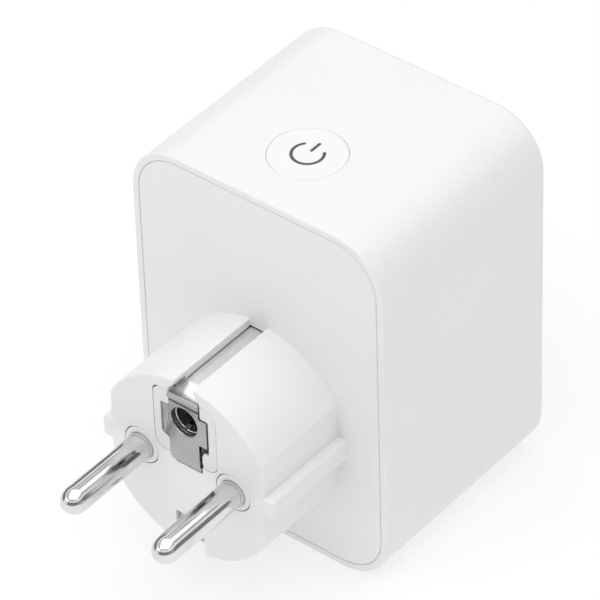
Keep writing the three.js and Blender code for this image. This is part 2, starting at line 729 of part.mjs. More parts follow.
// The round tray that holds the rotor and spring, screwed to the two posts of the cup.
function shutterGuide() {
  const [from, to] = [GUIDE_FRONT, GUIDE_FRONT + GUIDE.thickness];
  const ears = SIDES.map((level) => join(
    turnedY(rod(GUIDE.ear, from, to), 12).translate(0, 0, level * GUIDE_SCREW_Z),
    box(-GUIDE.ear, GUIDE.ear, from, to, level * (GUIDE.radius - 1.2), level * GUIDE_SCREW_Z),
  ));
  const bores = SIDES.map((level) => (
    turnedY(rod(GUIDE_POST.bore + 0.2, from - 1, to + 1), 10).translate(0, 0, level * GUIDE_SCREW_Z)
  ));
  const pinHoles = [-PIN_X, PIN_X].map((x) => (
    turnedY(rod(GUIDE.pinHole, from - 1, to + 1), 16).translate(x, 0, 0)
  ));
  const plate = turnedY(rod(GUIDE.radius, from, to), 32);
  const wall = turnedY(tube(GUIDE.radius - GUIDE.wall, GUIDE.radius, from + 0.5, CUP_BACK - TOUCH), 32);
  const pivotHole = turnedY(rod(PIVOT.radius + TOUCH, from - 1, to + 1), 16);
  return cut(join(plate, wall, ...ears), pivotHole, ...bores, ...pinHoles);
}

// A split contact tube with a strip that rises through the main board.
function receptacle() {
  const to = GUIDE_FRONT - 0.35;
  const from = to - TUBE.length;
  const riser = from + TUBE.riser;
  const half = BAR.width / 2;
  const barrel = turnedY(tube(TUBE.inner, TUBE.outer, from, to), 20);
  return cut(
    join(barrel, box(-half, half, riser, riser + STRIP_THICKNESS, 2.9, BOARD_STUB_TOP)),
    box(-TUBE.slit / 2, TUBE.slit / 2, from + 2, to + 1, -5, -1),
  );
}

// One bent strip: an upright behind the plug, two arms past the cup and two springy clips in the well.
function earthBracket() {
  const upright = BRACKET_Y - REAR_Y;
  const width = 5;
  const half = [
    [-2.6, 19],
    [-6.5, 17.6],
    [-9.5, 17.4],
    [-13, 18.4],
    [-15.4, 20.3],
    [-16, BRACKET_RADIUS],
    [upright, BRACKET_RADIUS],
  ];
  const mirrored = half.map(([y, z]) => [y, -z]).reverse();
  return alongX(ribbon([...half, ...mirrored], STRIP_THICKNESS), -width / 2, width / 2);
}

// ---------------------------------------------------------------- button

function iconArc(inner, outer) {
  const gap = THREE.MathUtils.degToRad(ICON_GAP);
  const shape = new THREE.Shape();
  shape.absarc(0, 0, outer, Math.PI / 2 + gap, Math.PI * 2.5 - gap);
  shape.absarc(0, 0, inner, Math.PI * 2.5 - gap, Math.PI / 2 + gap, true);
  shape.closePath();
  return shape;
}

function iconShapes(growth) {
  const half = ICON_STROKE / 2 + growth;
  const [low, high] = [ICON_BAR[0] - growth, ICON_BAR[1] + growth];
  return [
    iconArc(ICON_RADIUS - half, ICON_RADIUS + half),
    polygon([[-half, low], [half, low], [half, high], [-half, high]]),
  ];
}

function buttonCap() {
  const skirt = { radius: 7.6, inner: 5.2, bottom: -3.1, top: -2.3 };
  const [roof, edge] = [-1.4, 0.25];
  const body = turnedZ([
    [skirt.inner, skirt.bottom],
    [skirt.radius, skirt.bottom],
    [skirt.radius, skirt.top],
    [BUTTON_RADIUS, skirt.top],
    [BUTTON_RADIUS, -edge],
    [BUTTON_RADIUS - edge, 0],
    [0, 0],
    [0, roof],
    [skirt.inner, roof],
    [skirt.inner, skirt.bottom],
  ], 40);
  return cut(body, ...iconShapes(0.1).map((shape) => alongZ(shape, -2, 1, 9)));
}

function lightGuide() {
  const disc = turnedZ(rod(4.9, -3, -1.7), 28);
  const stem = turnedZ(rod(1.5, -5.6, -2.5), 16);
  return join(disc, stem, ...iconShapes(0).map((shape) => alongZ(shape, -2, -SEAT, 9)));
}

function tactBase() {
  const [half, height, bore] = [3, 3, 2.05];
  return cut(box(-half, half, -half, half, 0, height), turnedZ(rod(bore, 1, height + 1), 16));
}

function tactPlunger() {
  return turnedZ([[0, 1.8], [1.75, 1.8], [1.75, 3.7], [1.55, 3.9], [0, 3.9]], 16);
}

// ---------------------------------------------------------------- boards

function mainBoard() {
  const [width, depth, slotHalf] = [44, 36.6, 2.8];
  const board = alongZ(roundedRect(width, depth, 1), 0, BOARD_THICKNESS, 3);
  const front = COVER_BACK + BAR.riser;
  const rear = REAR_Y + GUIDE_FRONT - 0.35 - TUBE.length + TUBE.riser;
  const slots = [-PIN_X, PIN_X].flatMap((x) => [
    box(x - slotHalf, x + slotHalf, front - 0.8, front + 0.8, -1, 3),
    box(x - slotHalf, x + slotHalf, rear - 0.4, rear + 1.2, -1, 3),
  ]);
  return cut(board, ...slots);
}

function buttonBoard() {
  const [width, depth, holeRadius] = [26.5, 13, 1.4];
  const board = alongZ(roundedRect(width, depth, 1), 0, BOARD_THICKNESS, 3);
  const holes = SIDES.map((side) => (
    turnedZ(rod(holeRadius, -1, 3), 12).translate(side * BOARD_POST.x, 0, 0)
  ));
  return cut(board, ...holes);
}

function boardHeader() {
  const height = BUTTON_BOARD_Z - MAIN_BOARD_Z - BOARD_THICKNESS;
  const [pinPitch, pinHalf] = [2, 0.3];
  const pins = [-1.5, -0.5, 0.5, 1.5].map((place) => {
    const x = place * pinPitch;
    return box(x - pinHalf, x + pinHalf, -pinHalf, pinHalf, SEAT, height - SEAT);
  });
  return join(box(-4, 4, -1.2, 1.2, 1.5, 4), ...pins);
}

// ---------------------------------------------------------------- relay, with a clapper armature

function relayCover() {
  const { width, depth, height, wall, clearance } = RELAY;
  const [insideX, insideY] = [width / 2 - wall, depth / 2 - wall];
  return cut(
    alongZ(roundedRect(width, depth, 1), clearance, height, 3),
    box(-insideX, insideX, -insideY, insideY, -1, height - wall),
  );
}

function relayYoke() {
  return alongY(polygon([
    [-7.5, 2.6],
    [3.4, 2.6],
    [3.4, 3.6],
    [-6.5, 3.6],
    [-6.5, ARMATURE_Z - TOUCH],
    [-7.5, ARMATURE_Z - TOUCH],
  ]), -3.5, 3.5);
}

function relayCoil() {
  return turnedZ([
    [0, 3.9],
    [4.6, 3.9],
    [4.6, 4.6],
    [3.9, 4.6],
    [3.9, 10.6],
    [4.6, 10.6],
    [4.6, 11.3],
    [2, 11.3],
    [2, 12],
    [0, 12],
  ], 20);
}

function relayArmature() {
  const plate = box(-7.5, 4, -3.4, 3.4, ARMATURE_Z, ARMATURE_Z + 0.8);
  const blade = box(3.5, 7.2, -1.6, 1.6, ARMATURE_Z + 0.1, ARMATURE_Z + 0.5);
  const contact = turnedZ(rod(RELAY_CONTACT_RADIUS, ARMATURE_Z - 0.6, ARMATURE_Z + 0.3), 16);
  return join(plate, blade, contact.translate(RELAY_CONTACT_X, 0, 0));
}

function relayContact() {
  const post = box(RELAY_CONTACT_X - 0.4, RELAY_CONTACT_X + 0.4, -1.6, 1.6, 2.6, 11.2);
  const contact = turnedZ(rod(RELAY_CONTACT_RADIUS, 10.9, ARMATURE_Z - 1.4), 16);
  return join(post, contact.translate(RELAY_CONTACT_X, 0, 0));
}

// ---------------------------------------------------------------- other components

function capacitorCan() {
  return turnedZ([[0, 0], [4.9, 0], [5, 0.4], [5, 14.6], [4.6, 15], [3.8, 14.8], [0, 14.8]], 20);
}

function filmCapacitor() {
  return alongZ(roundedRect(5.5, 13, 0.8), 0, 11, 3);
}

function varistor() {
  const disc = [[0, -2], [3.8, -2], [4.6, -1.2], [4.6, 1.2], [3.8, 2], [0, 2]];
  return turnedY(disc, 20).translate(0, 0, 4.8);
}

function fuse() {
  return turnedY([
    [0, -5.2],
    [2.3, -5.2],
    [2.3, -3.2],
    [2.1, -3.2],
    [2.1, 3.2],
    [2.3, 3.2],
    [2.3, 5.2],
    [0, 5.2],
  ], 16).translate(0, 0, 2.6);
}

function inductor() {
  return turnedZ([[0, 0], [4, 0], [4, 1], [3.5, 1], [3.5, 5.4], [4, 5.4], [4, 6.4], [0, 6.4]], 20);
}

// ---------------------------------------------------------------- the whole plug

const group = new THREE.Group();

piece(group, 'body_sleeve', bodySleeve(), whitePlastic);
piece(group, 'front_cover', frontCover(), whitePlastic);

const plug = groupAt(group, 0, FRONT_Y, AXIS_Z);
for (const [side, x] of [['live', PIN_X], ['neutral', -PIN_X]]) {
  piece(plug, `${side}_pin`, plugPin(), nickel, x);
  piece(plug, `${side}_pin_collar`, pinCollar(), whiteInsert, x);
  piece(plug, `${side}_bar`, pinBar(), bronze, x);
}
piece(plug, 'earth_retainer', earthRetainer(), whiteInsert);
piece(plug, 'earth_strip_top', earthStripTop(), nickel);
piece(plug, 'earth_strip_bottom', earthStripBottom(), nickel);
piece(plug, 'earth_sleeve', earthSleeve(), nickel, 0, 0, EARTH_HOLE_HEIGHT);

const socket = groupAt(group, 0, REAR_Y, AXIS_Z);
piece(socket, 'socket_cup', socketCup(), whitePlastic);
cupScrewPlaces().forEach(([x, z], i) => {
  piece(socket, `cup_screw_${i + 1}`, screwGeometry(2.3, 1.2, 7.5), steel, x, -9.7, z);
});
piece(socket, 'shutter_rotor', shutterRotor(), greyNylon);
piece(socket, 'shutter_spring', shutterSpring(), steel);
piece(socket, 'shutter_guide', shutterGuide(), greyNylon);
for (const [level, z] of [['top', GUIDE_SCREW_Z], ['bottom', -GUIDE_SCREW_Z]]) {
  const headSeat = GUIDE_FRONT - SEAT;
  piece(socket, `shutter_screw_${level}`, screwGeometry(1.9, 0.9, 4.5), steel, 0, headSeat, z);
}
piece(socket, 'live_receptacle', receptacle(), bronze, PIN_X);
piece(socket, 'neutral_receptacle', receptacle(), bronze, -PIN_X);
piece(socket, 'earth_bracket', earthBracket(), bronze);

const button = groupAt(group, 0, BUTTON_Y, BODY_HEIGHT);
piece(button, 'button_cap', buttonCap(), whitePlastic);
piece(button, 'light_guide', lightGuide(), iconPlastic);

const buttonDeck = groupAt(group, 0, BUTTON_Y, BUTTON_BOARD_Z);
piece(buttonDeck, 'button_board', buttonBoard(), boardBlack);
const buttonParts = groupAt(buttonDeck, 0, 0, BOARD_THICKNESS + SEAT);
piece(buttonParts, 'tact_switch_base', tactBase(), blackPlastic);
piece(buttonParts, 'tact_switch_plunger', tactPlunger(), whiteInsert);
const LED_X = 4.3;
for (const [side, x] of [['left', -LED_X], ['right', LED_X]]) {
  piece(buttonParts, `status_led_${side}`, box(-0.8, 0.8, -1, 1, 0, 0.9), ledClear, x);
}
for (const [side, x] of [['left', -BOARD_POST.x], ['right', BOARD_POST.x]]) {
  const screw = piece(buttonDeck, `button_board_screw_${side}`, screwGeometry(1.9, 1, 7), steel, x, 0, -SEAT);
  screw.rotation.x = Math.PI / 2;
}

const mainDeck = groupAt(group, 0, 0, MAIN_BOARD_Z);
piece(mainDeck, 'main_board', mainBoard(), boardGreen);
const mainParts = groupAt(mainDeck, 0, 0, BOARD_THICKNESS + SEAT);
piece(mainParts, 'board_header', boardHeader(), blackPlastic, -5, BUTTON_Y + 5, -SEAT);
piece(mainParts, 'wifi_board', box(-0.4, 0.4, -8, 8, 0, 14), boardBlack, 19.6, -6.5);
piece(mainParts, 'wifi_shield', box(0, 2.2, -5, 5, 2.5, 12), steel, 16.95, -6.5);

const relay = groupAt(mainParts, -10.5, 9.5, 0);
piece(relay, 'relay_cover', relayCover(), relayBlue);
piece(relay, 'relay_base', box(-8.5, 8.5, -6.8, 6.8, 0, 2.3), blackPlastic);
piece(relay, 'relay_yoke', relayYoke(), steel);
piece(relay, 'relay_coil', relayCoil(), copper, -1.4);
piece(relay, 'relay_armature', relayArmature(), steel);
piece(relay, 'relay_contact', relayContact(), bronze);

piece(mainParts, 'bulk_capacitor', capacitorCan(), capacitorSleeve, 14.5, 11.5);
piece(mainParts, 'film_capacitor', filmCapacitor(), capacitorYellow, -18.2, -6.6);
piece(mainParts, 'varistor', varistor(), varistorBlue, 4.1, 13.5);
piece(mainParts, 'fuse', fuse(), ledClear, 14.3, -8);
piece(mainParts, 'power_inductor', inductor(), copper, 2.5, -10);
piece(mainParts, 'rectifier', box(-2.4, 2.4, -2, 2, 0, 2.4), blackPlastic, 5.5, 6);
piece(mainParts, 'metering_chip', box(-2.5, 2.5, -2, 2, 0, 1.5), blackPlastic, -6, -13);

export default group;
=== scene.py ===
"""Looks of the smart plug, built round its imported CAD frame. Lengths in this file are millimetres
until they reach a mesh, a light or the camera, where MM turns them into metres."""

import json
import math

import bmesh
import bpy
from mathutils import Matrix, Vector


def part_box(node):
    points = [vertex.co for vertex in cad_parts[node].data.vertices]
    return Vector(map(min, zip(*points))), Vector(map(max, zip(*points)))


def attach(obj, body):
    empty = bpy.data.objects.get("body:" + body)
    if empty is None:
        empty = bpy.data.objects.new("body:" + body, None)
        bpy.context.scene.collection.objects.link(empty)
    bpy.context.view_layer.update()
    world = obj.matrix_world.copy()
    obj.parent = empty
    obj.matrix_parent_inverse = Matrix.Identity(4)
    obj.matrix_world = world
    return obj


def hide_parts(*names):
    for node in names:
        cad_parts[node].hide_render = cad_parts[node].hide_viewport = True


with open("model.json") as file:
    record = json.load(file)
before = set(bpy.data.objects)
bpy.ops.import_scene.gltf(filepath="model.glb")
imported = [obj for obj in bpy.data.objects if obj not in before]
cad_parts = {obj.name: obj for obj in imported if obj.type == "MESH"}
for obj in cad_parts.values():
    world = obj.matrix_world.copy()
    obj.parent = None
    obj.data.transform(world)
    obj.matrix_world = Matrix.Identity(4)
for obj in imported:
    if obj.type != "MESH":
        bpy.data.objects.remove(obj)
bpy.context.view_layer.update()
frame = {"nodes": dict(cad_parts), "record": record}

MM = 0.001

# ---------------------------------------------------------------- places from the frame


def node_box(node):
    """Lowest and highest corner of a CAD node, in millimetres."""
    low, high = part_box(node)
    return low / MM, high / MM


sleeve_low, sleeve_high = node_box("body_sleeve")
pin_low, pin_high = node_box("live_pin")
button_low, button_high = node_box("button_cap")

BODY_WIDTH = sleeve_high.x - sleeve_low.x
BODY_HEIGHT = sleeve_high.z - sleeve_low.z
FRONT = sleeve_low.y
REAR = sleeve_high.y
TOP = sleeve_high.z
MID_Z = (sleeve_low.z + sleeve_high.z) / 2
FACE = node_box("front_cover")[0].y  # front face of the boss
PIN_X = (pin_low.x + pin_high.x) / 2
AXIS_Z = (pin_low.z + pin_high.z) / 2  # height of the plug's axis
PIN_TIP = pin_low.y
BUTTON_Y = (button_low.y + button_high.y) / 2

# Body
CORNER = 9.6  # radius of the four long edges
WALL = 2.0
RIM = 1.3  # width of the sleeve's front edge, round the panel
SEAM = 0.15  # clearance of the button's hole and the well's, and behind the panel
GAP = 0.11  # gap round the panel's face and the insert
COVER_THICKNESS = 2.2
REAR_FILLET = 1.0

# Boss, measured from the plug's axis
BOSS_RADIUS = 17.75
BOSS_FLAT = 15.8  # to each side flat
BOSS_RIB = 4.0  # height of the rib on each flat
GROOVE_HALF = 1.87
GROOVE_FLOOR = 15.05
PIN_RADIUS = 2.4
COLLAR_RADIUS = 3.4
INSERT_HALF = 6.4
INSERT_LOW = 2.0
INSERT_HIGH = 14.8

# Earth contacts, measured from the plug's axis
STRIP_HALF = 1.67
STRIP_RADIUS = 16.05
STRIP_SINK = 0.3  # from STRIP_RADIUS to the middle of the sheet
STRIP_THICKNESS = 0.8
STRIP_EDGE = 0.07  # rounding of the strips' edges
EARTH_Z = 10.0
EARTH_RADIUS = 2.7
EARTH_CLEARANCE = 3.9  # radius of the room for the earth tube
PLATE_NECK = 3.0
PLATE_SHOULDER = 4.6
PLATE_FOOT = 3.15
PLATE_TOP = 15.0
PLATE_BOTTOM = 1.0
PLATE_PROUD = 0.18  # how far the plate stands out of the boss face
PLATE_SUNK = 0.42
RIGHT_LOW, RIGHT_HIGH = 6.6, 12.0  # ends of the right shoulder
LEFT_LOW, LEFT_HIGH = 5.8, 11.7
ROLL_RADIUS = 0.6

# Socket well
WELL_RADIUS = 19.5
CUP_RADIUS = 21.0
WELL_DEPTH = 17.5
CUP_FLOOR = 2.0
WELL_GUIDE = 16.6  # from the axis to the inner face of each side rib
GUIDE_LOW = 2.6
GUIDE_HIGH = 11.0
CLIP_HALF = 2.5
CLIP_WINDOW = 3.0

# Button
BUTTON_RADIUS = 6.5
BUTTON_FLANGE = 7.6
ICON_RADIUS = 2.65
ICON_STROKE = 0.52
ICON_OPENING = 50.0  # degrees from the top to each end of the ring
ICON_BAR = 0.7, 3.3  # lower and upper end of the bar
ICON_FIT = 0.02  # gap between the symbol and the cap

# Cutters and mesh detail
AHEAD = 1  # how far a cutter starts in front of the face it cuts
THROUGH = 4  # depth of a cutter that goes through the insert
FINE = 24  # steps in a corner of the body
SMOOTH_ANGLE = math.radians(32)
NORMAL_WEIGHT = 80

# ---------------------------------------------------------------- mesh tools


def new_object(name, mesh):
    obj = bpy.data.objects.new(name, mesh)
    bpy.context.scene.collection.objects.link(obj)
    return obj


def mesh_piece(name, points, faces):
    """A mesh from points in millimetres, with its faces turned outwards."""
    mesh = bpy.data.meshes.new(name)
    mesh.from_pydata([Vector(p) * MM for p in points], [], faces)
    tidy = bmesh.new()
    tidy.from_mesh(mesh)
    bmesh.ops.remove_doubles(tidy, verts=tidy.verts, dist=1e-7)
    bmesh.ops.recalc_face_normals(tidy, faces=tidy.faces)
    tidy.to_mesh(mesh)
    tidy.free()
    return new_object(name, mesh)


def filleted(corners, steps=4, closed=True):
    """A 2-D outline from (a, b, radius) corners, with an arc at each corner that has a radius."""
    points = []
    count = len(corners)
    for i, (a, b, radius) in enumerate(corners):
        here = Vector((a, b))
        if radius <= 0 or (not closed and i in (0, count - 1)):
            points.append((a, b))
            continue
        before = Vector(corners[i - 1][:2]) - here
        after = Vector(corners[(i + 1) % count][:2]) - here
        half = before.angle(after) / 2
        longest = min(before.length * 0.499, after.length * 0.499)
        reach = min(radius / math.tan(half), longest)
        start = here + before.normalized() * reach
        end = here + after.normalized() * reach
        bisector = (before.normalized() + after.normalized()).normalized()
        centre = here + bisector * (reach / math.cos(half))
        first = start - centre
        turn = first.angle_signed(end - centre)
        for k in range(steps + 1):
            spot = first.copy()
            spot.rotate(Matrix.Rotation(-turn * k / steps, 2))
            points.append(tuple(centre + spot))
    return points


def arc(radius, start, end, steps, centre=(0.0, 0.0)):
    """Points on a circle, from one angle in degrees to another."""
    points = []
    for k in range(steps + 1):
        angle = math.radians(start + (end - start) * k / steps)
        x, y = radius * math.cos(angle), radius * math.sin(angle)
        points.append((centre[0] + x, centre[1] + y))
    return points


def rect_loop(inset, y):
    """The body's rounded rectangle at depth y, drawn in by inset."""
    radius = CORNER - inset
    right = BODY_WIDTH / 2 - CORNER
    up = BODY_HEIGHT / 2 - CORNER
    loop = []
    for k, (x, z) in enumerate([(right, up), (-right, up), (-right, -up), (right, -up)]):
        for a, b in arc(radius, 90 * k, 90 * k + 90, FINE, (x, z)):
            loop.append((a, y, b + MID_Z))
    return loop


def ring_loop(radius, y):
    """A circle round the plug's axis with as many points as rect_loop has."""
    step = 90 / (FINE + 1)
    count = 4 * (FINE + 1)
    circle = arc(radius, step / 2, step / 2 + step * (count - 1), count - 1)
    return [(x, y, z + AXIS_Z) for x, z in circle]


def rounding(radius, steps):
    """How far a rounded edge draws in, and how far it has gone down, at each step along it."""
    angles = [math.radians(90 * k / steps) for k in range(steps + 1)]
    return [(radius * (1 - math.sin(a)), radius * (1 - math.cos(a))) for a in angles]


def ring_quads(rings, count, closed):
    """Quads from each ring of count points to the next. If closed, the last meets the first."""
    faces = []
    for i in range(rings if closed else rings - 1):
        here, there = i * count, (i + 1) % rings * count
        for k in range(count):
            nxt = (k + 1) % count
            faces.append((here + k, here + nxt, there + nxt, there + k))
    return faces


def loft(name, loops, closed=False):
    """A mesh through loops of equal count. It has a cap at each end, unless it is a closed ring."""
    count = len(loops[0])
    points = [p for loop in loops for p in loop]
    faces = ring_quads(len(loops), count, closed)
    if not closed:
        last = (len(loops) - 1) * count
        faces += [tuple(range(count)), tuple(range(last, last + count))]
    return mesh_piece(name, points, faces)


def turned(name, profile, centre, axis="y", segments=64, closed=False):
    """A profile of (radius, height) points turned about an axis through centre. An open profile
    starts and ends on the axis, and a closed one is a ring. Flat ends are single faces."""
    rows = [point for point in profile if point[0] > 1e-6]
    points = []
    for radius, height in rows:
        circle = arc(radius, 0, 360 - 360 / segments, segments - 1)
        for a, b in circle:
            points.append((a, height, b) if axis == "y" else (a, b, height))
    faces = ring_quads(len(rows), segments, closed)
    if not closed:
        for pole, row in ((profile[0], 0), (profile[-1], len(rows) - 1)):
            first = row * segments
            if abs(pole[1] - rows[row][1]) < 1e-6:
                faces.append(tuple(range(first, first + segments)))
                continue
            points.append((0, pole[1], 0) if axis == "y" else (0, 0, pole[1]))
            tip = len(points) - 1
            faces += [(first + k, first + (k + 1) % segments, tip) for k in range(segments)]
    return mesh_piece(name, [Vector(p) + Vector(centre) for p in points], faces)


def rod(name, radius, start, end, centre, axis="y", segments=64):
    """A plain cylinder, which cuts a bore."""
    profile = [(0.0, start), (radius, start), (radius, end), (0.0, end)]
    return turned(name, profile, centre, axis, segments)


def prism(name, outline, axis, start, end, centre=(0.0, 0.0, 0.0)):
    """A 2-D outline extruded along an axis: (x, z) along y, (y, z) along x, (x, y) along z."""
    place = {
        "x": lambda a, b, h: (h, a, b),
        "y": lambda a, b, h: (a, h, b),
        "z": lambda a, b, h: (a, b, h),
    }[axis]
    centre = Vector(centre)
    return loft(name, [[Vector(place(*p, h)) + centre for p in outline] for h in (start, end)])


def block(name, x, y, z):
    """A box between pairs of coordinates."""
    outline = [(x[0], z[0]), (x[1], z[0]), (x[1], z[1]), (x[0], z[1])]
    return prism(name, outline, "y", y[0], y[1])


def face_cutter(name, outline, depth):
    """An outline about the plug's axis, from in front of the boss face to a depth behind it."""
    return prism(name, outline, "y", FACE - AHEAD, FACE + depth, (0, 0, AXIS_Z))


def moved(obj, x, y, z):
    """Moves an object's mesh."""
    obj.data.transform(Matrix.Translation(Vector((x, y, z)) * MM))
    return obj


def applied(obj):
    """Turns an object's modifiers into its own mesh."""
    graph = bpy.context.evaluated_depsgraph_get()
    mesh = bpy.data.meshes.new_from_object(obj.evaluated_get(graph))
    obj.modifiers.clear()
    obj.data = mesh
    return obj


def combine(base, operation, tools):
    """Cuts or joins tools into base, and removes them."""
    for tool in tools:
        modifier = base.modifiers.new("combine", "BOOLEAN")
        modifier.operation = operation
        modifier.solver = "EXACT"
        modifier.object = tool
        applied(base)
        bpy.data.objects.remove(tool)
    return base


def bevelled(obj, width, angle):
    """Rounds the edges that turn by more than an angle in degrees."""
    modifier = obj.modifiers.new("edges", "BEVEL")
    modifier.width = width * MM
    modifier.segments = 3
    modifier.limit_method = "ANGLE"
    modifier.angle_limit = math.radians(angle)
    modifier.miter_outer = "MITER_ARC"
    return applied(obj)


def smooth(obj):
    """Smooth shading with sharp creases, and normals led by the large faces."""
    obj.data.shade_smooth()
    obj.data.set_sharp_from_angle(angle=SMOOTH_ANGLE)
    weighted = obj.modifiers.new("normals", "WEIGHTED_NORMAL")
    weighted.keep_sharp = True
    weighted.weight = NORMAL_WEIGHT
    return obj


# ---------------------------------------------------------------- material tools

NOISE_LOW, NOISE_HIGH = 0.3, 0.7  # the range that a noise texture mostly keeps to
PLASTIC_DRIFT, PLASTIC_GLOSS = 55.0, 420.0  # scales of noise
METAL_DRIFT = 180.0
BOARD_TRACKS, BOARD_GLOSS = 260.0, 900.0
WIRE_TURNS = 520.0


class Look:
    """A Principled material whose colour, roughness and bump come from procedural nodes."""

    def __init__(self, name, roughness, metallic=0.0, **fixed):
        self.material = bpy.data.materials.new(name)
        self.material.use_nodes = True
        self.tree = self.material.node_tree
        self.shader = self.tree.nodes["Principled BSDF"]
        self.shader.inputs["Roughness"].default_value = roughness
        self.shader.inputs["Metallic"].default_value = metallic
        for socket, value in fixed.items():
            self.shader.inputs[socket.replace("_", " ")].default_value = value
        self.place = self.node("ShaderNodeTexCoord").outputs["Object"]

    def node(self, kind, **settings):
        made = self.tree.nodes.new(kind)
        for name, value in settings.items():
            setattr(made, name, value)
        return made

    def link(self, source, target):
        self.tree.links.new(source, target)

    def stretched(self, scale):
        mapping = self.node("ShaderNodeMapping")
        mapping.inputs["Scale"].default_value = scale
        self.link(self.place, mapping.inputs["Vector"])
        return mapping.outputs["Vector"]

    def noise(self, scale, detail=3.0, stretch=(1.0, 1.0, 1.0), roughness=0.5):
        texture = self.node("ShaderNodeTexNoise")
        texture.inputs["Scale"].default_value = scale
        texture.inputs["Detail"].default_value = detail
        texture.inputs["Roughness"].default_value = roughness
        self.link(self.stretched(stretch), texture.inputs["Vector"])
        return texture.outputs["Fac"]

    def ramp(self, source, low, high, start=NOISE_LOW, end=NOISE_HIGH):
        """Maps a value between start and end to the colours between low and high."""
        ramp = self.node("ShaderNodeValToRGB")
        for stop, position, colour in zip(ramp.color_ramp.elements, (start, end), (low, high)):
            stop.position = position
            stop.color = (*colour, 1.0)
        self.link(source, ramp.inputs["Fac"])
        return ramp.outputs["Color"]

    def spread(self, source, low, high):
        """Maps the middle of a noise to the values between low and high."""
        span = self.node("ShaderNodeMapRange")
        span.inputs["From Min"].default_value = NOISE_LOW
        span.inputs["From Max"].default_value = NOISE_HIGH
        span.inputs["To Min"].default_value = low
        span.inputs["To Max"].default_value = high
        self.link(source, span.inputs["Value"])
        return span.outputs["Result"]

    def darker_before(self, source, share, start, end):
        """Multiplies a colour by a share in front of depth start, fading out by depth end (mm)."""
        split = self.node("ShaderNodeSeparateXYZ")
        self.link(self.place, split.inputs["Vector"])
        span = self.node("ShaderNodeMapRange")
        span.inputs["From Min"].default_value = start * MM
        span.inputs["From Max"].default_value = end * MM
        span.inputs["To Min"].default_value = share
        self.link(split.outputs["Y"], span.inputs["Value"])
        scale = self.node("ShaderNodeVectorMath", operation="SCALE")
        self.link(source, scale.inputs[0])
        self.link(span.outputs["Result"], scale.inputs["Scale"])
        return scale.outputs["Vector"]

    def colour(self, source):
        self.link(source, self.shader.inputs["Base Color"])
        return self

    def rough(self, source):
        self.link(source, self.shader.inputs["Roughness"])
        return self

    def bump(self, source, strength, depth):
        """depth is the height of the relief in millimetres."""
        bump = self.node("ShaderNodeBump")
        bump.inputs["Strength"].default_value = strength
        bump.inputs["Distance"].default_value = depth * MM
        self.link(source, bump.inputs["Height"])
        self.link(bump.outputs["Normal"], self.shader.inputs["Normal"])
        return self


def shades(colour, spread):
    """A colour made a little darker, and a little lighter."""
    darker = tuple(c * (1 - spread) for c in colour)
    lighter = tuple(min(c * (1 + spread), 1.0) for c in colour)
    return darker, lighter


def moulded(name, colour, roughness, grain, relief, spread, **fixed):
    """Moulded plastic: a fine spark-eroded grain, a slow drift of tone and of gloss."""
    look = Look(name, roughness, **fixed)
    look.colour(look.ramp(look.noise(PLASTIC_DRIFT, 2.0), *shades(colour, spread)))
    look.rough(look.spread(look.noise(PLASTIC_GLOSS, 4.0), roughness - 0.05, roughness + 0.05))
    look.bump(look.noise(grain, 3.0, roughness=0.6), 0.35, relief)
    return look.material


def metal(name, colour, roughness, stretch, scale, relief, spread=0.06, painted_shade=None):
    """Rolled, drawn or turned metal: fine lines along one direction and a slow drift of gloss.
    The last argument paints shade: a share that darkens the tone, and the depths between which that
    shade fades."""
    look = Look(name, roughness, 1.0)
    lines = look.noise(scale, 3.0, stretch, 0.65)
    tone = look.ramp(look.noise(METAL_DRIFT, 3.0), *shades(colour, spread))
    # painted shade: in front of a depth the metal's tone is darkened to a share, fading out behind
    # it
    look.colour(look.darker_before(tone, *painted_shade) if painted_shade else tone)
    look.rough(look.spread(lines, roughness * 0.75, roughness * 1.35))
    look.bump(lines, 0.3, relief)
    return look.material


def circuit_board(name, mask, track):
    """Solder mask that stands over a net of copper tracks."""
    look = Look(name, 0.35, Coat_Weight=0.3, Coat_Roughness=0.2)
    cells = look.node("ShaderNodeTexVoronoi", feature="DISTANCE_TO_EDGE", distance="MANHATTAN")
    cells.inputs["Scale"].default_value = BOARD_TRACKS
    look.link(look.stretched((1.0, 1.0, 0.35)), cells.inputs["Vector"])
    edge = look.node("ShaderNodeMapRange")
    edge.inputs["From Max"].default_value = 0.09
    look.link(cells.outputs["Distance"], edge.inputs["Value"])
    look.colour(look.ramp(edge.outputs["Result"], track, mask, 0.35, 0.6))
    look.rough(look.spread(look.noise(BOARD_GLOSS, 3.0), 0.28, 0.42))
    look.bump(edge.outputs["Result"], 0.4, 0.03)
    return look.material


def winding(name, colour, roughness):
    """Enamelled wire laid turn by turn round the Z axis."""
    look = Look(name, roughness, 0.7, Coat_Weight=0.5, Coat_Roughness=0.15)
    wave = look.node("ShaderNodeTexWave", bands_direction="Z")
    wave.inputs["Scale"].default_value = WIRE_TURNS
    wave.inputs["Distortion"].default_value = 0.4
    look.link(look.place, wave.inputs["Vector"])
    dark = tuple(c * 0.45 for c in colour)
    look.colour(look.ramp(wave.outputs["Fac"], dark, colour, 0.15, 0.75))
    look.bump(wave.outputs["Fac"], 0.8, 0.08)
    return look.material


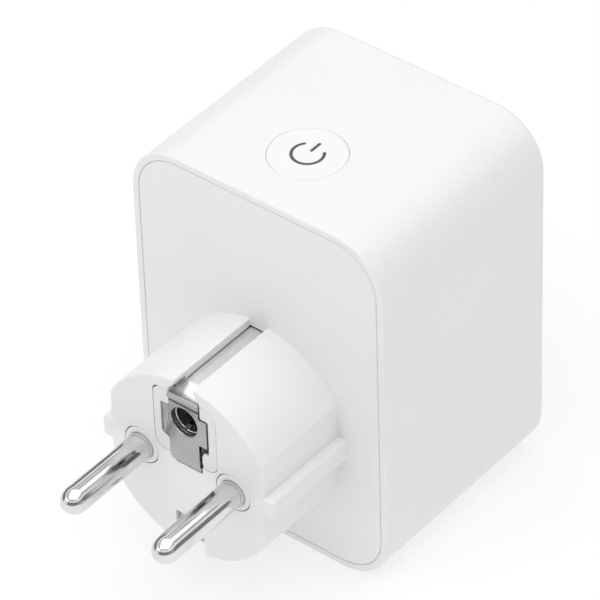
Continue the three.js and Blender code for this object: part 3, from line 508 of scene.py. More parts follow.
PLASTICS = {
    # colour, roughness, grain, relief, spread of tone
    "white_housing": ((0.868, 0.868, 0.869), 0.40, 2400.0, 0.012, 0.008),
    "white_button": ((0.876, 0.876, 0.877), 0.34, 3000.0, 0.008, 0.008),
    "white_insert": ((0.845, 0.845, 0.846), 0.42, 2000.0, 0.015, 0.012),
    "icon_grey": ((0.07, 0.072, 0.078), 0.28, 3000.0, 0.004, 0.1),
    "grey_nylon": ((0.52, 0.53, 0.54), 0.5, 1800.0, 0.02, 0.03),
    "black_plastic": ((0.022, 0.022, 0.024), 0.45, 1600.0, 0.03, 0.15),
    "can_sleeve": ((0.02, 0.045, 0.13), 0.25, 700.0, 0.01, 0.1),
    "film_yellow": ((0.72, 0.47, 0.06), 0.36, 1500.0, 0.02, 0.05),
    "varistor_blue": ((0.03, 0.13, 0.42), 0.3, 600.0, 0.05, 0.08),
    "relay_blue": ((0.02, 0.14, 0.42), 0.4, 1600.0, 0.02, 0.06),
    "led_lens": ((0.85, 0.82, 0.7), 0.12, 500.0, 0.002, 0.03),
}
FINISHES = {
    "icon_grey": {"Coat_Weight": 0.3},
    "can_sleeve": {"Coat_Weight": 0.4},
    "varistor_blue": {"Coat_Weight": 0.4},
    "led_lens": {"Transmission_Weight": 0.6, "IOR": 1.5},
}
METALS = {
    # colour, roughness, stretch of the lines, their scale, relief, and a spread of tone
    "nickel": ((0.74, 0.735, 0.725), 0.10, (9.0, 0.6, 9.0), 500.0, 0.004, 0.10),
    "nickel_strip": ((0.83, 0.83, 0.825), 0.25, (6.0, 0.5, 0.5), 1500.0, 0.006),
    "contact_bronze": ((0.72, 0.44, 0.19), 0.28, (6.0, 1.0, 0.5), 900.0, 0.006),
    "zinc_steel": ((0.56, 0.57, 0.59), 0.33, (1.0, 1.0, 6.0), 900.0, 0.008),
}
PAINTED_SHADE = {"nickel_strip": (0.50, FACE + 0.5, FACE + 1.1)}  # painted shade: nickel in front of FACE + 0.5 is darkened to half, fading out by FACE + 1.1, so the face plate is darker than the strips

LOOKS = {name: moulded(name, *row, **FINISHES.get(name, {})) for name, row in PLASTICS.items()}
LOOKS |= {name: metal(name, *row, painted_shade=PAINTED_SHADE.get(name)) for name, row in METALS.items()}
LOOKS["copper_wire"] = winding("copper_wire", (0.55, 0.19, 0.06), 0.32)
LOOKS["board_green"] = circuit_board("board_green", (0.012, 0.10, 0.045), (0.03, 0.19, 0.08))
LOOKS["board_black"] = circuit_board("board_black", (0.010, 0.011, 0.013), (0.03, 0.032, 0.036))

for entry in frame["record"]["subparts"]:
    node = frame["nodes"][entry["node"]]
    node.data.materials.clear()
    node.data.materials.append(LOOKS[entry["material_slot"]])


def stand_for(piece, slot, body, *nodes):
    """Gives a finished piece its material and its body, and hides the CAD nodes that it stands for.
    """
    piece.data.materials.clear()
    piece.data.materials.append(LOOKS[slot])
    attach(piece, body)
    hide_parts(*nodes)
    return piece


# ---------------------------------------------------------------- camera

AZIMUTH, ELEVATION, ROLL = 40.04, 40.08, -1.95  # degrees
DISTANCE = 781.7
LENS = 291.2
AIM_RIGHT, AIM_UP = 6.39, 10.62  # from the middle of the front to the aim, as seen


def make_camera():
    """The camera looks from the pin side, above and to the right, with a long lens and a roll."""
    azimuth, elevation, roll = (math.radians(angle) for angle in (AZIMUTH, ELEVATION, ROLL))
    back = Vector((
        math.sin(azimuth) * math.cos(elevation),
        -math.cos(azimuth) * math.cos(elevation),
        math.sin(elevation),
    ))
    level = Vector((math.cos(azimuth), math.sin(azimuth), 0.0))
    upright = back.cross(level)
    right = level * math.cos(roll) + upright * math.sin(roll)
    up = back.cross(right)
    aim = Vector((0.0, FRONT, MID_Z)) + right * AIM_RIGHT + up * AIM_UP
    data = bpy.data.cameras.new("camera")
    data.lens = LENS
    data.sensor_width = 36.0
    data.clip_start = 0.01
    data.clip_end = 20.0
    camera = new_object("camera", data)
    place = (aim + back * DISTANCE) * MM
    turn = Matrix((right, up, back)).transposed().to_4x4()
    camera.matrix_world = Matrix.Translation(place) @ turn
    bpy.context.scene.camera = camera


make_camera()

# ---------------------------------------------------------------- body sleeve


def body_sleeve():
    """A one-piece shell: front ledge, rim, sides, rear fillet, rear face, round opening and inner
    wall. The button's hole is drilled in its top."""
    soft, mouth, flare = 0.14, 0.2, 0.1
    ledge = FRONT + COVER_THICKNESS + SEAM
    hole = CUP_RADIUS + SEAM
    loops = [rect_loop(RIM, ledge), rect_loop(RIM, FRONT + soft)]
    loops += [rect_loop(RIM - 0.05, FRONT + 0.04), rect_loop(RIM - soft, FRONT)]
    outside = filleted([
        (RIM, FRONT, 0.0), (0.0, FRONT, 0.32), (0.0, REAR, REAR_FILLET), (5.0, REAR, 0.0),
    ], steps=8, closed=False)
    loops += [rect_loop(inset, y) for inset, y in outside[1:-1]]
    loops += [ring_loop(hole + widen, REAR - sink) for widen, sink in rounding(mouth, 3)]
    loops.append(ring_loop(hole, REAR - WALL))
    loops += [rect_loop(WALL, REAR - WALL), rect_loop(WALL, ledge)]
    shell = loft("sleeve_shell", loops, closed=True)
    rim = BUTTON_RADIUS + SEAM
    profile = [(0.0, TOP - WALL - 3), (rim, TOP - WALL - 3)]
    profile += [(rim + widen, TOP - sink) for sink, widen in rounding(flare, 4)]
    profile += [(rim + flare, TOP + 2), (0.0, TOP + 2)]
    combine(shell, "DIFFERENCE", [turned("drill", profile, (0, BUTTON_Y, 0), "z", 96)])
    return stand_for(smooth(shell), "white_housing", "housing", "body_sleeve")


body_sleeve()

# ---------------------------------------------------------------- front cover and boss


def boss_outline(inset):
    """The boss's cross-section about its axis, drawn in by inset: arcs, a rib on each side flat,
    and a groove for each earth strip. Every inset gives the same number of points."""
    radius = BOSS_RADIUS - inset
    flat = BOSS_FLAT - inset
    rib = BOSS_RIB / 2 - inset
    groove = GROOVE_HALF + inset
    floor = GROOVE_FLOOR - inset
    half_flat = math.sqrt(radius**2 - flat**2)
    lip = math.sqrt(radius**2 - groove**2)
    rib_end = BOSS_RADIUS - 0.05 - inset
    side = filleted([
        (rib_end, 0.0, 0.0),
        (rib_end, rib, 0.55 - inset),
        (flat, rib, 0.2 + inset),
        (flat, half_flat, 0.0),
    ], 5, closed=False)
    start = math.degrees(math.atan2(half_flat, flat))
    end = math.degrees(math.atan2(lip, groove))
    crown = arc(radius, start, end - 1.0, 40)[1:]
    crown += filleted([
        crown[-1] + (0.0,),
        (groove, lip, 0.42 - inset),
        (groove, floor, 0.2 + inset),
        (0.0, floor, 0.0),
    ], 5, closed=False)[1:]
    quarter = side + crown
    upper = quarter + [(-x, z) for x, z in reversed(quarter)][1:]
    lower = [(-x, -z) for x, z in upper]
    return upper[:-1] + lower[:-1]


def boss():
    """The plug boss, with a rounded front edge."""
    sections = [(inset, FACE + depth) for inset, depth in rounding(0.4, 4)]
    sections.append((0.0, FRONT + 0.6))
    loops = [[(x, y, z + AXIS_Z) for x, z in boss_outline(inset)] for inset, y in sections]
    return loft("boss", loops)


def cover_plate():
    """The front panel: a soft edge, a shallow seam round it, and a skirt that meets the sleeve."""
    edge, seam_depth = 0.18, 0.3
    loops = [rect_loop(RIM + GAP + inset, FRONT + depth) for inset, depth in rounding(edge, 3)]
    loops.append(rect_loop(RIM + GAP, FRONT + seam_depth))
    loops.append(rect_loop(RIM, FRONT + seam_depth + 0.02))
    loops.append(rect_loop(RIM, FRONT + COVER_THICKNESS))
    return loft("front_panel", loops)


def insert_outline(gap):
    """The insert's outline about the plug's axis, with its corners rounded unequally."""
    half, low, high = INSERT_HALF + gap, INSERT_LOW - gap, INSERT_HIGH + gap
    return filleted([
        (half, low, 1.7 + gap),
        (half, high, 2.3 + gap),
        (-half, high, 1.7 - 4 * gap),
        (-half, low, 2.3 + gap),
    ], 10)


def insert_windows():
    """Cutters for the insert's openings: under the right shoulder, beside the plate's foot, under
    the leaf and below the foot."""
    below = PLATE_BOTTOM - 0.4
    right = PLATE_FOOT + 0.2
    outlines = [
        filleted([
            (4.8, 5.2, 0.25), (4.8, 7.0, 0.0), (2.75, 7.0, 0.0), (2.75, 4.4, 0.0), (3.25, 4.1, 0.2),
            (3.85, 5.2, 0.2),
        ], 3),
        [(2.7, 1.6), (3.55, 2.1), (3.45, 3.0), (3.12, 3.8), (3.25, 4.6), (2.7, 4.6)],
        filleted([(-2.9, 4.7, 0.0), (-2.9, 6.9, 0.0), (-4.8, 6.9, 0.2), (-4.8, 5.5, 0.3)], 3),
        [(-2.5, 1.5), (-2.1, below), (right, below), (right, 1.5)],
    ]
    return [face_cutter(f"window{k}", outline, THROUGH) for k, outline in enumerate(outlines)]


def undercuts():
    """Cutters for the rooms behind the windows, wider than they are, which keep the gaps dark."""
    back = FACE + THROUGH
    return [
        block("room_foot", (-2.7, 3.6), (FACE + 0.28, back), (AXIS_Z - 0.4, AXIS_Z + 1.7)),
        block("room_notch", (2.8, 5.0), (FACE + 0.34, back), (AXIS_Z + 1.9, AXIS_Z + 6.9)),
    ]


def collar_hole(side):
    """A cutter with a soft mouth. It is a bit oval, so the seam round the collar isn't even."""
    radius = COLLAR_RADIUS + 0.05
    back = FACE + 6
    drill = turned(f"collar_hole{side}", [
        (0.0, FACE - AHEAD), (radius + 0.08, FACE - AHEAD), (radius + 0.08, FACE),
        (radius + 0.02, FACE + 0.025), (radius, FACE + 0.08), (radius, back), (0.0, back),
    ], (0, 0, 0), "y", 64)
    drill.data.transform(Matrix.Scale(1.035, 4, Vector((-1, 0, 1))))
    return moved(drill, side * PIN_X, 0, AXIS_Z)


def strip_slots(level):
    """Cutters for one earth strip: its slot in the panel, and the undercuts beside it."""
    half = GROOVE_HALF + 0.02
    low, high = sorted((level * 15.2, level * 16.42))
    made = [block(f"strip_slot{level}", (-half, half), (FRONT - 0.4, FRONT + 4),
                  (AXIS_Z + low, AXIS_Z + high))]
    low, high = sorted((level * (GROOVE_FLOOR + 0.15), level * (STRIP_RADIUS + 0.08)))
    for side in (-1, 1):
        near, far = sorted((side * 1.5, side * 2.45))
        made.append(block(f"undercut{level}{side}", (near, far), (FACE + 3.4, FRONT + 1.5),
                          (AXIS_Z + low, AXIS_Z + high)))
    return made


def front_cover():
    """The front panel and the boss in one, with every recess that the metal parts need."""
    cover = combine(cover_plate(), "UNION", [boss()])
    wide, narrow, low, step, high = 3.2, GROOVE_HALF + 0.05, 13.7, 15.5, 16.9
    half, foot, head = 2.9, -22.0, -10.4
    earth_axis = (0, 0, AXIS_Z + EARTH_Z)
    tools = [
        rod("cavity", 13.8, FACE + 3.2, FRONT + 4, (0, 0, AXIS_Z)),
        face_cutter("recess", insert_outline(GAP), 2.0),
        face_cutter("mouth", filleted([
            (wide, low, 0.0), (wide, step, 0.3), (narrow, high, 0.5), (0.0, high, 0.0),
            (-narrow, high, 0.5), (-wide, step, 0.3), (-wide, low, 0.0),
        ], 4), 3.1),
        face_cutter("notch", filleted([
            (half, foot, 0.0), (half, head, 0.35), (-half, head, 0.35), (-half, foot, 0.0),
        ], 5), 2.2),
        face_cutter("plate_pocket", plate_outline(0.14), 0.75),
        rod("tube_hole", EARTH_CLEARANCE, FACE - AHEAD, FACE + 6, earth_axis, "y", 48),
    ]
    tools += insert_windows() + undercuts() + [collar_hole(-1), collar_hole(1)]
    tools += strip_slots(-1) + strip_slots(1)
    combine(cover, "DIFFERENCE", tools)
    return stand_for(smooth(cover), "white_housing", "housing", "front_cover")


# ---------------------------------------------------------------- earth contacts of the plug


def plate_outline(gap):
    """The face plate about the plug's axis: neck, two shoulders of unlike height, then a foot."""
    neck, shoulder, foot = PLATE_NECK + gap, PLATE_SHOULDER + gap, PLATE_FOOT + gap
    bottom, corner = PLATE_BOTTOM - gap, 0.2
    return filleted([
        (foot, bottom, 0.15),
        (foot, RIGHT_LOW - gap, corner),
        (shoulder, RIGHT_LOW - gap, corner),
        (shoulder, RIGHT_HIGH + gap, corner),
        (neck, RIGHT_HIGH + gap, corner),
        (neck, PLATE_TOP, 0.0),
        (-neck, PLATE_TOP, 0.0),
        (-neck, LEFT_HIGH + gap, corner),
        (-shoulder, LEFT_HIGH + gap, corner),
        (-shoulder, LEFT_LOW - gap, corner),
        (-foot, LEFT_LOW - gap, corner),
        (-foot, bottom, 0.9),
    ], 5)


def sheet_along(name, path, widths, edge, crowns=None, shift=0.0):
    """Strip metal that follows (y, z) points. It has a half width at each of them, and where it has
    a crown its surface falls away towards its sides by that much."""
    points = [Vector(p) for p in path]
    half = STRIP_THICKNESS / 2
    loops = []
    for i, point in enumerate(points):
        before = points[max(i - 1, 0)]
        after = points[min(i + 1, len(points) - 1)]
        along = (after - before).normalized()
        normal = Vector((-along.y, along.x))
        wide = widths[i]
        crown = crowns[i] if crowns else 0.0
        flat = [wide * k / 6 for k in range(-5, 6)]
        corners = [(x, -half, 0.0) for x in flat] + [(wide, -half, edge), (wide, half, edge)]
        corners += [(x, half, 0.0) for x in reversed(flat)]
        corners += [(-wide, half, edge), (-wide, -half, edge)]
        loop = []
        for x, t in filleted(corners, 3):
            t += crown * (x / wide) ** 2
            y, z = point.x + normal.x * t, point.y + normal.y * t
            loop.append((x + shift, y, z + AXIS_Z))
        loops.append(loop)
    return loft(name, loops)


def blended(points, steps, radius):
    """A path with a rounded bend at each inner point."""
    return filleted([(a, b, radius) for a, b in points], steps, closed=False)


def ramp_up(y, start, length):
    """0 behind start, and 1 once y is a length in front of it."""
    return min(max((start - y) / length, 0.0), 1.0)


def plate_leaf():
    """A curled edge between the plate and its set-back left shoulder."""
    course = filleted([
        (-3.0, 11.5, 0.0), (-3.35, 10.8, 1.2), (-3.62, 8.6, 3.0), (-4.1, 6.3, 0.0),
    ], 8, closed=False)
    last = len(course) - 1
    loops = []
    for i, (x, z) in enumerate(course):
        before, after = Vector(course[max(i - 1, 0)]), Vector(course[min(i + 1, last)])
        along = (after - before).normalized()
        across = Vector((-along.y, along.x))
        thick = 0.18 + 0.2 * math.sin(math.pi * i / last)
        loops.append([
            (x + across.x * a, FACE - 0.1 + b, z + across.y * a + AXIS_Z)
            for a, b in arc(thick, 0, 345, 23)
        ])
    return loft("leaf", loops)


def plate_roll():
    """The bar-like roll where the strip turns over the edge of the boss."""
    half, soft = PLATE_NECK + 0.12, 0.16
    roll = turned("roll", filleted([
        (0.0, -half, 0.0), (ROLL_RADIUS, -half, soft), (ROLL_RADIUS, half, soft), (0.0, half, 0.0),
    ], 5, closed=False), (0, 0, 0), "y", 40)
    roll.data.transform(Matrix.Rotation(math.radians(90), 4, "Z"))
    return moved(roll, 0, FACE + 0.02, AXIS_Z + PLATE_TOP - ROLL_RADIUS)


def face_plate():
    """The plate on the boss face: a chamfered earth hole, a notch beside its foot, a set-back left
    shoulder, and a crease under the roll."""
    proud = FACE - PLATE_PROUD
    plate = prism("plate", plate_outline(0.0), "y", proud, FACE + PLATE_SUNK, (0, 0, AXIS_Z))
    bevelled(plate, 0.07, 50)
    hole = turned("hole", [
        (0.0, FACE - AHEAD), (EARTH_RADIUS + 0.22, FACE - AHEAD), (EARTH_RADIUS + 0.22, proud),
        (EARTH_RADIUS + 0.1, FACE - 0.14), (EARTH_RADIUS, FACE + 0.02),
        (EARTH_RADIUS, FACE + 2), (0.0, FACE + 2),
    ], (0, 0, AXIS_Z + EARTH_Z), "y", 72)
    notch = face_cutter("notch", filleted([
        (2.95, 1.8, 0.15), (2.95, RIGHT_LOW, 0.15), (6.0, RIGHT_LOW, 0.0), (6.0, 1.8, 0.0),
    ], 4), 2)
    step = face_cutter("step", [
        (-3.0, 12.4), (-3.35, 10.8), (-3.6, 8.6), (-4.1, 6.3), (-4.1, 5.2), (-6.0, 5.2),
        (-6.0, 12.4),
    ], 0.14)
    crease = block("crease", (-4, 4), (FACE - AHEAD, FACE + 0.16),
                   (AXIS_Z + PLATE_TOP - 1.72, AXIS_Z + PLATE_TOP - 1.0))
    return combine(plate, "DIFFERENCE", [hole, notch, step, crease])


def earth_strip_top():
    """The strip lies in the groove, dips and widens at the front, rolls over the edge and becomes
    the face plate."""
    rear = node_box("earth_strip_top")[1].y
    path = blended([
        (rear, STRIP_RADIUS - STRIP_SINK),
        (FACE + 5.0, STRIP_RADIUS - STRIP_SINK),
        (FACE + 2.9, STRIP_RADIUS - 0.45),
        (FACE + 0.8, STRIP_RADIUS - 1.25),
        (FACE + 0.2, STRIP_RADIUS - 1.6),
    ], 6, 1.4)
    widths = []
    crowns = []
    for y, _ in path:
        blend = ramp_up(y, FACE + 3.0, 2.0)
        blend = blend * blend * (3 - 2 * blend)
        widths.append(STRIP_HALF + (PLATE_NECK - STRIP_HALF) * blend)
        crowns.append(0.24 * blend)
    strip = sheet_along("earth_strip_upper", path, widths, STRIP_EDGE, crowns, 0.08)
    combine(strip, "UNION", [plate_roll(), face_plate(), plate_leaf()])
    return stand_for(smooth(strip), "nickel_strip", "housing", "earth_strip_top")


def earth_strip_bottom():
    """The strip lies in the bottom groove and turns up, wider, into the notch of the boss face."""
    rear = node_box("earth_strip_bottom")[1].y
    end_half = 2.7
    path = blended([
        (rear, STRIP_SINK - STRIP_RADIUS),
        (FACE + 0.95, STRIP_SINK - STRIP_RADIUS),
        (FACE + 0.95, -11.05),
    ], 8, 1.0)
    widths = [
        STRIP_HALF + (end_half - STRIP_HALF) * ramp_up(y, FACE + 2.6, 1.4) for y, _ in path
    ]
    strip = sheet_along("earth_strip_lower", path, widths, STRIP_EDGE)
    return stand_for(smooth(strip), "nickel_strip", "housing", "earth_strip_bottom")


def earth_sleeve():
    """The tube of the earth contact: a rolled sheet with an open seam and soft edges."""
    low, high = node_box("earth_sleeve")
    outer = (high.z - low.z) / 2
    inner = outer - 0.55
    front = low.y + 0.1
    profile = filleted([
        (inner, front, 0.2), (outer, front, 0.12), (outer, high.y, 0.1), (inner, high.y, 0.1),
    ], 4)
    tube = turned("earth_tube", profile, (0, 0, AXIS_Z + EARTH_Z), "y", 64, closed=True)
    slit = block("slit", (-4, 0), (low.y - 1, high.y - 2), (-0.35, 0.35))
    slit.data.transform(Matrix.Rotation(math.radians(-75), 4, "Y"))
    combine(tube, "DIFFERENCE", [moved(slit, 0, 0, AXIS_Z + EARTH_Z)])
    return stand_for(smooth(tube), "nickel_strip", "housing", "earth_sleeve")


def earth_retainer():
    """The white insert round the face plate, open at the top for the strip's neck. Its windows
    leave a hook at the lower right, beside the plate's foot. The bevel comes before the holes,
    because a bevelled face with a hole in it can close over the hole."""
    outline = insert_outline(0.0)
    insert = prism("earth_insert", outline, "y", FACE + 0.02, FACE + 1.7, (0, 0, AXIS_Z))
    front, back = FACE - AHEAD, FACE + 3
    pocket = face_cutter("pocket", plate_outline(0.2), 0.8)
    neck = block("neck", (-3.2, 3.2), (front, back), (AXIS_Z + 12.6, AXIS_Z + 16))
    combine(insert, "DIFFERENCE", [pocket, neck])
    bevelled(insert, 0.09, 40)
    slit = block("slit", (-4.95, -4.3), (front, FACE + THROUGH), (AXIS_Z + 5.6, AXIS_Z + 11.85))
    hole = rod("hole", EARTH_CLEARANCE, front, back, (0, 0, AXIS_Z + EARTH_Z), "y", 48)
    combine(insert, "DIFFERENCE", [slit, hole] + insert_windows() + undercuts())
    return stand_for(smooth(insert), "white_insert", "housing", "earth_retainer")


front_cover()
earth_strip_top()
earth_strip_bottom()
earth_sleeve()
earth_retainer()

# ---------------------------------------------------------------- pins and collars


def mains_pin(node, side):
    """A pin with a domed tip, a flange inside the boss and a thinner tail."""
    back = node_box(node)[1].y
    shoulder = FACE + 4.7
    flange, flange_end, tail = 3.2, shoulder + 1.2, 1.8
    dome = 2.9
    profile = [(0.0, PIN_TIP)]
    for step in range(1, 17):
        angle = math.radians(90 * step / 16)
        radius = PIN_RADIUS * math.sin(angle) ** 0.94
        profile.append((radius, PIN_TIP + dome * (1 - math.cos(angle))))
    profile += filleted([
        (PIN_RADIUS, shoulder - 3, 0.0), (PIN_RADIUS, shoulder, 0.15), (flange, shoulder, 0.15),
        (flange, flange_end, 0.15), (tail, flange_end, 0.1), (tail, back, 0.2), (0.0, back, 0.0),
    ], 3, closed=False)
    pin = turned(node.replace("pin", "contact_pin"), profile, (side * PIN_X, 0, AXIS_Z))
    return stand_for(smooth(pin), "nickel", "housing", node)


def pin_collar(node, side):
    """A softly domed ring that closes on the pin."""
    back = node_box(node)[1].y
    inner = PIN_RADIUS + 0.03
    foot, foot_front = 4.0, back - 0.8
    profile = filleted([
        (inner, FACE - 0.02, 0.12), (PIN_RADIUS + 0.5, FACE - 0.1, 0.4),
        (COLLAR_RADIUS, FACE + 0.04, 0.2), (COLLAR_RADIUS, foot_front, 0.0),
        (foot, foot_front, 0.1), (foot, back, 0.1), (inner, back, 0.1),
    ], 5)
    name = node.replace("pin_collar", "pin_ring")
    ring = turned(name, profile, (side * PIN_X, 0, AXIS_Z), closed=True)
    return stand_for(smooth(ring), "white_insert", "housing", node)


for name, direction in (("live", 1), ("neutral", -1)):
    mains_pin(f"{name}_pin", direction)
    pin_collar(f"{name}_pin_collar", direction)

# ---------------------------------------------------------------- socket well on the rear


def well_guide(side, level):
    """A rib along the side of the well, with rounded edges."""
    reach = WELL_RADIUS + 0.7
    meets_wall = math.sqrt(WELL_RADIUS**2 - WELL_GUIDE**2)
    start = math.degrees(math.asin(GUIDE_HIGH / reach))
    corners = [(WELL_GUIDE, GUIDE_LOW, 0.35), (WELL_GUIDE, meets_wall, 0.6)]
    corners += [(x, z, 0.0) for x, z in arc(reach, start, 7.6, 8)]
    outline = [(side * x, level * z) for x, z in filleted(corners, 5)]
    foot, mouth = REAR - WELL_DEPTH - 0.5, REAR - 3.2
    return bevelled(prism(f"rib{side}{level}", outline, "y", foot, mouth, (0, 0, AXIS_Z)), 0.3, 60)


def socket_cup():
    """The well: a rolled rim, a deep wall, a floor with two countersunk pin holes, side ribs and
    a window at the top and bottom for the earth clips."""
    floor = REAR - WELL_DEPTH
    back = floor - CUP_FLOOR
    rim = REAR - 0.02
    cup = turned("well", filleted([
        (0.0, back, 0.0), (CUP_RADIUS, back, 0.5), (CUP_RADIUS, rim, 0.25),
        (WELL_RADIUS, rim, 0.6), (WELL_RADIUS, floor, 0.5), (0.0, floor, 0.0),
    ], 6, closed=False), (0, 0, AXIS_Z), "y", 128)
    ribs = [well_guide(side, level) for side in (-1, 1) for level in (-1, 1)]
    combine(cup, "UNION", ribs)
    tools = []
    for side in (-1, 1):
        tools.append(turned(f"pin_hole{side}", filleted([
            (0.0, back - 1, 0.0), (2.9, back - 1, 0.0), (2.9, floor - 0.45, 0.2),
            (3.5, floor + 0.02, 0.1), (3.6, floor + 1, 0.0), (0.0, floor + 1, 0.0),
        ], 3, closed=False), (side * PIN_X, 0, AXIS_Z), "y", 48))
    for level in (-1, 1):
        near, far = level * 16.0, level * 24.0
        half = CLIP_WINDOW
        outline = [(half, near), (half, far), (-half, far), (-half, near)]
        name = f"clip_window{level}"
        tools.append(prism(name, outline, "y", floor + 0.4, REAR - 2.0, (0, 0, AXIS_Z)))
    combine(cup, "DIFFERENCE", tools)
    return stand_for(smooth(cup), "white_housing", "housing", "socket_cup")


def earth_bracket():
    """One sprung strip: an upright behind the plug, an arm past the cup at each end, and a bowed
    clip in the well."""
    low, high = node_box("earth_bracket")
    upright = low.y + STRIP_THICKNESS / 2
    arm = (high.z - low.z) / 2 - STRIP_THICKNESS / 2
    half = [
        (REAR - 2.6, 19.0), (REAR - 6.5, 17.55), (REAR - 9.5, 17.4), (REAR - 13.0, 18.4),
        (REAR - 15.4, 20.3), (REAR - 16.0, arm), (upright, arm),
    ]
    path = blended(half + [(y, -z) for y, z in reversed(half)], 6, 1.0)
    strip = sheet_along("earth_clips", path, [CLIP_HALF] * len(path), 0.14)
    return stand_for(smooth(strip), "contact_bronze", "housing", "earth_bracket")


def shutter_rotor():
    """The pads that close the pin holes, sloped so that entering pins turn them aside."""
    low, high = node_box("shutter_rotor")
    hub = arc(4.2, 35, 145, 14)
    right = arc(3.3, -66, 66, 18, (PIN_X, 0.0))
    outline = right + hub + [(-x, -z) for x, z in right] + [(-x, -z) for x, z in hub]
    rotor = prism("shutter_blade", outline, "y", low.y, high.y, (0, 0, AXIS_Z))
    bore = rod("pivot_bore", 1.58, low.y - 1, high.y + 1, (0, 0, AXIS_Z), "y", 32)
    slope = [(high.y - 1.1, -4.0), (high.y + 0.1, 2.2), (high.y + 1, 2.2), (high.y + 1, -4.0)]
    ramps = [
        prism(f"ramp{side}", [(y, z * side) for y, z in slope], "x",
              side * (PIN_X - 3.8), side * (PIN_X + 3.8), (0, 0, AXIS_Z))
        for side in (-1, 1)
    ]
    combine(rotor, "DIFFERENCE", ramps)
    bevelled(rotor, 0.15, 40)
    combine(rotor, "DIFFERENCE", [bore])
    return stand_for(smooth(rotor), "grey_nylon", "shutter", "shutter_rotor")


socket_cup()
earth_bracket()
shutter_rotor()

# ---------------------------------------------------------------- button


def icon_arc(half):
    """The open ring of the power symbol, with round ends."""
    start, end = 90.0 + ICON_OPENING, 450.0 - ICON_OPENING
    tips = [
        (ICON_RADIUS * math.cos(math.radians(angle)), ICON_RADIUS * math.sin(math.radians(angle)))
        for angle in (start, end)
    ]
    outline = arc(ICON_RADIUS + half, start, end, 48)
    outline += arc(half, end, end + 180, 8, tips[1])[1:-1]
    outline += arc(ICON_RADIUS - half, end, start, 48)
    outline += arc(half, start + 180, start + 360, 8, tips[0])[1:-1]
    return outline


def icon_bar(half):
    """The bar of the power symbol, with round ends."""
    low, high = ICON_BAR
    outline = arc(half, 0, 180, 10, (0.0, high - ICON_STROKE / 2))
    return outline + arc(half, 180, 360, 10, (0.0, low + ICON_STROKE / 2))


def icon_prisms(half, low, high):
    """The power symbol with a half stroke, between two heights."""
    return [
        prism("icon_arc", icon_arc(half), "z", low, high, (0, BUTTON_Y, 0)),
        prism("icon_bar", icon_bar(half), "z", low, high, (0, BUTTON_Y, 0)),
    ]


def button_cap():
    """The cap: a flange below the housing's top, a hollow underside and slots for the symbol."""
    foot, step, cap_radius = button_low.z, button_low.z + 0.8, BUTTON_RADIUS + 0.1
    profile = filleted([
        (0.0, foot, 0.0), (BUTTON_FLANGE, foot, 0.15), (BUTTON_FLANGE, step, 0.15),
        (cap_radius, step, 0.1), (cap_radius, TOP, 0.14), (0.0, TOP, 0.0),
    ], 5, closed=False)
    cap = turned("button_top", profile, (0, BUTTON_Y, 0), "z", 96)
    hollow = rod("hollow", 5.2, foot - 1, TOP - 1.4, (0, BUTTON_Y, 0), "z")
    slots = icon_prisms(ICON_STROKE / 2 + ICON_FIT, TOP - 3, TOP + 1)
    combine(cap, "DIFFERENCE", [hollow] + slots)
    return stand_for(smooth(cap), "white_button", "button", "button_cap")


def light_guide():
    """The light guide: a stem, a disc under the cap, and the symbol that stands up through it."""
    foot = node_box("light_guide")[0].z
    stem, disc, disc_low, disc_high = 1.5, 4.9, TOP - 3.0, TOP - 1.7
    profile = filleted([
        (0.0, foot, 0.0), (stem, foot, 0.2), (stem, disc_low, 0.2), (disc, disc_low, 0.15),
        (disc, disc_high, 0.15), (0.0, disc_high, 0.0),
    ], 4, closed=False)
    guide = turned("power_symbol", profile, (0, BUTTON_Y, 0), "z", 64)
    combine(guide, "UNION", icon_prisms(ICON_STROKE / 2, TOP - 2.2, TOP - ICON_FIT))
    return stand_for(smooth(guide), "icon_grey", "button", "light_guide")


button_cap()
light_guide()

# ---------------------------------------------------------------- floor and light

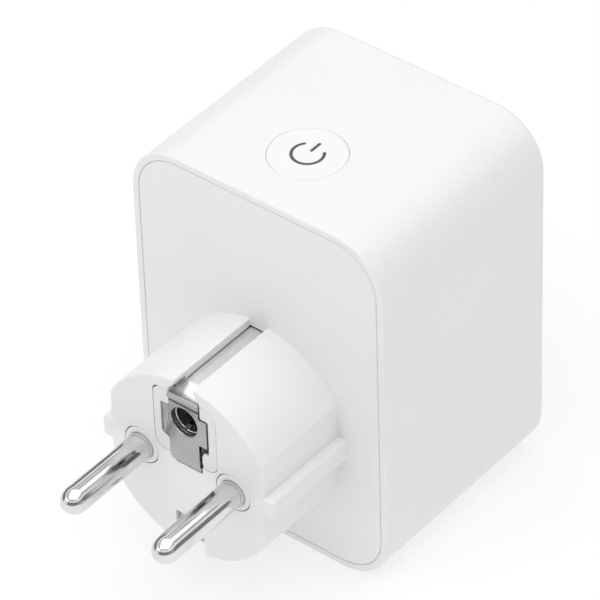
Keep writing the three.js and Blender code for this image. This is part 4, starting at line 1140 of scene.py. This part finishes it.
FLOOR_HALF = 1500
FLOOR_GLOW = 0.53
SKY = [  # (sine of the height over the horizon, grey), the first one for all that is below too
    (0.0, 0.75), (0.075, 0.75), (0.09, 0.05), (0.16, 0.08), (0.18, 0.45), (0.30, 0.45),
    (0.33, 0.08), (0.40, 0.10), (0.44, 1.1), (0.52, 1.35), (0.64, 1.35), (0.67, 0.30),
    (0.70, 0.30), (0.72, 1.2), (0.80, 1.0), (0.90, 0.30), (1.0, 0.20),
]
SKY_STRENGTH = 0.72
SOFTBOXES = {  # place, size, power in watts
    "top_light": ((30, -60, 610), 760, 2.75),
    "front_light": ((-320, -560, 240), 420, 0.4),
    "side_light": ((560, -120, 260), 360, 0.06),
}


def stage_floor():
    """A wide pale floor that glows a little, which takes most of the shadow away."""
    half = FLOOR_HALF
    corners = [(-half, -half, 0), (half, -half, 0), (half, half, 0), (-half, half, 0)]
    floor = mesh_piece("floor", corners, [(0, 1, 2, 3)])
    look = Look("floor", 0.9, Emission_Color=(1, 1, 1, 1), Emission_Strength=FLOOR_GLOW)
    look.colour(look.ramp(look.noise(8.0), (0.47, 0.47, 0.47), (0.49, 0.49, 0.49)))
    floor.data.materials.append(look.material)


def area_light(name, place, size, power):
    """A square softbox that faces the middle of the body."""
    data = bpy.data.lights.new(name, "AREA")
    data.size = size * MM
    data.energy = power
    light = new_object(name, data)
    away = Vector(place) - Vector((0, 0, MID_Z))
    turn = away.to_track_quat("Z", "Y").to_matrix().to_4x4()
    light.matrix_world = Matrix.Translation(Vector(place) * MM) @ turn


def studio():
    """A pale sky with darker bands that draw streaks on the metal, and three softboxes."""
    world = bpy.data.worlds.new("world")
    bpy.context.scene.world = world
    world.use_nodes = True
    nodes, links = world.node_tree.nodes, world.node_tree.links
    split = nodes.new("ShaderNodeSeparateXYZ")
    ramp = nodes.new("ShaderNodeValToRGB")
    bands = ramp.color_ramp.elements
    bands.remove(bands[1])
    for k, (height, grey) in enumerate(SKY):
        band = bands[0] if k == 0 else bands.new(height)
        band.position = height
        band.color = (grey, grey, grey, 1.0)
    links.new(nodes.new("ShaderNodeTexCoord").outputs["Generated"], split.inputs["Vector"])
    links.new(split.outputs["Z"], ramp.inputs["Fac"])
    links.new(ramp.outputs["Color"], nodes["Background"].inputs["Color"])
    nodes["Background"].inputs["Strength"].default_value = SKY_STRENGTH
    for name, (place, size, power) in SOFTBOXES.items():
        area_light(name, place, size, power)
    bpy.context.scene.view_settings.view_transform = "Standard"


stage_floor()
studio()
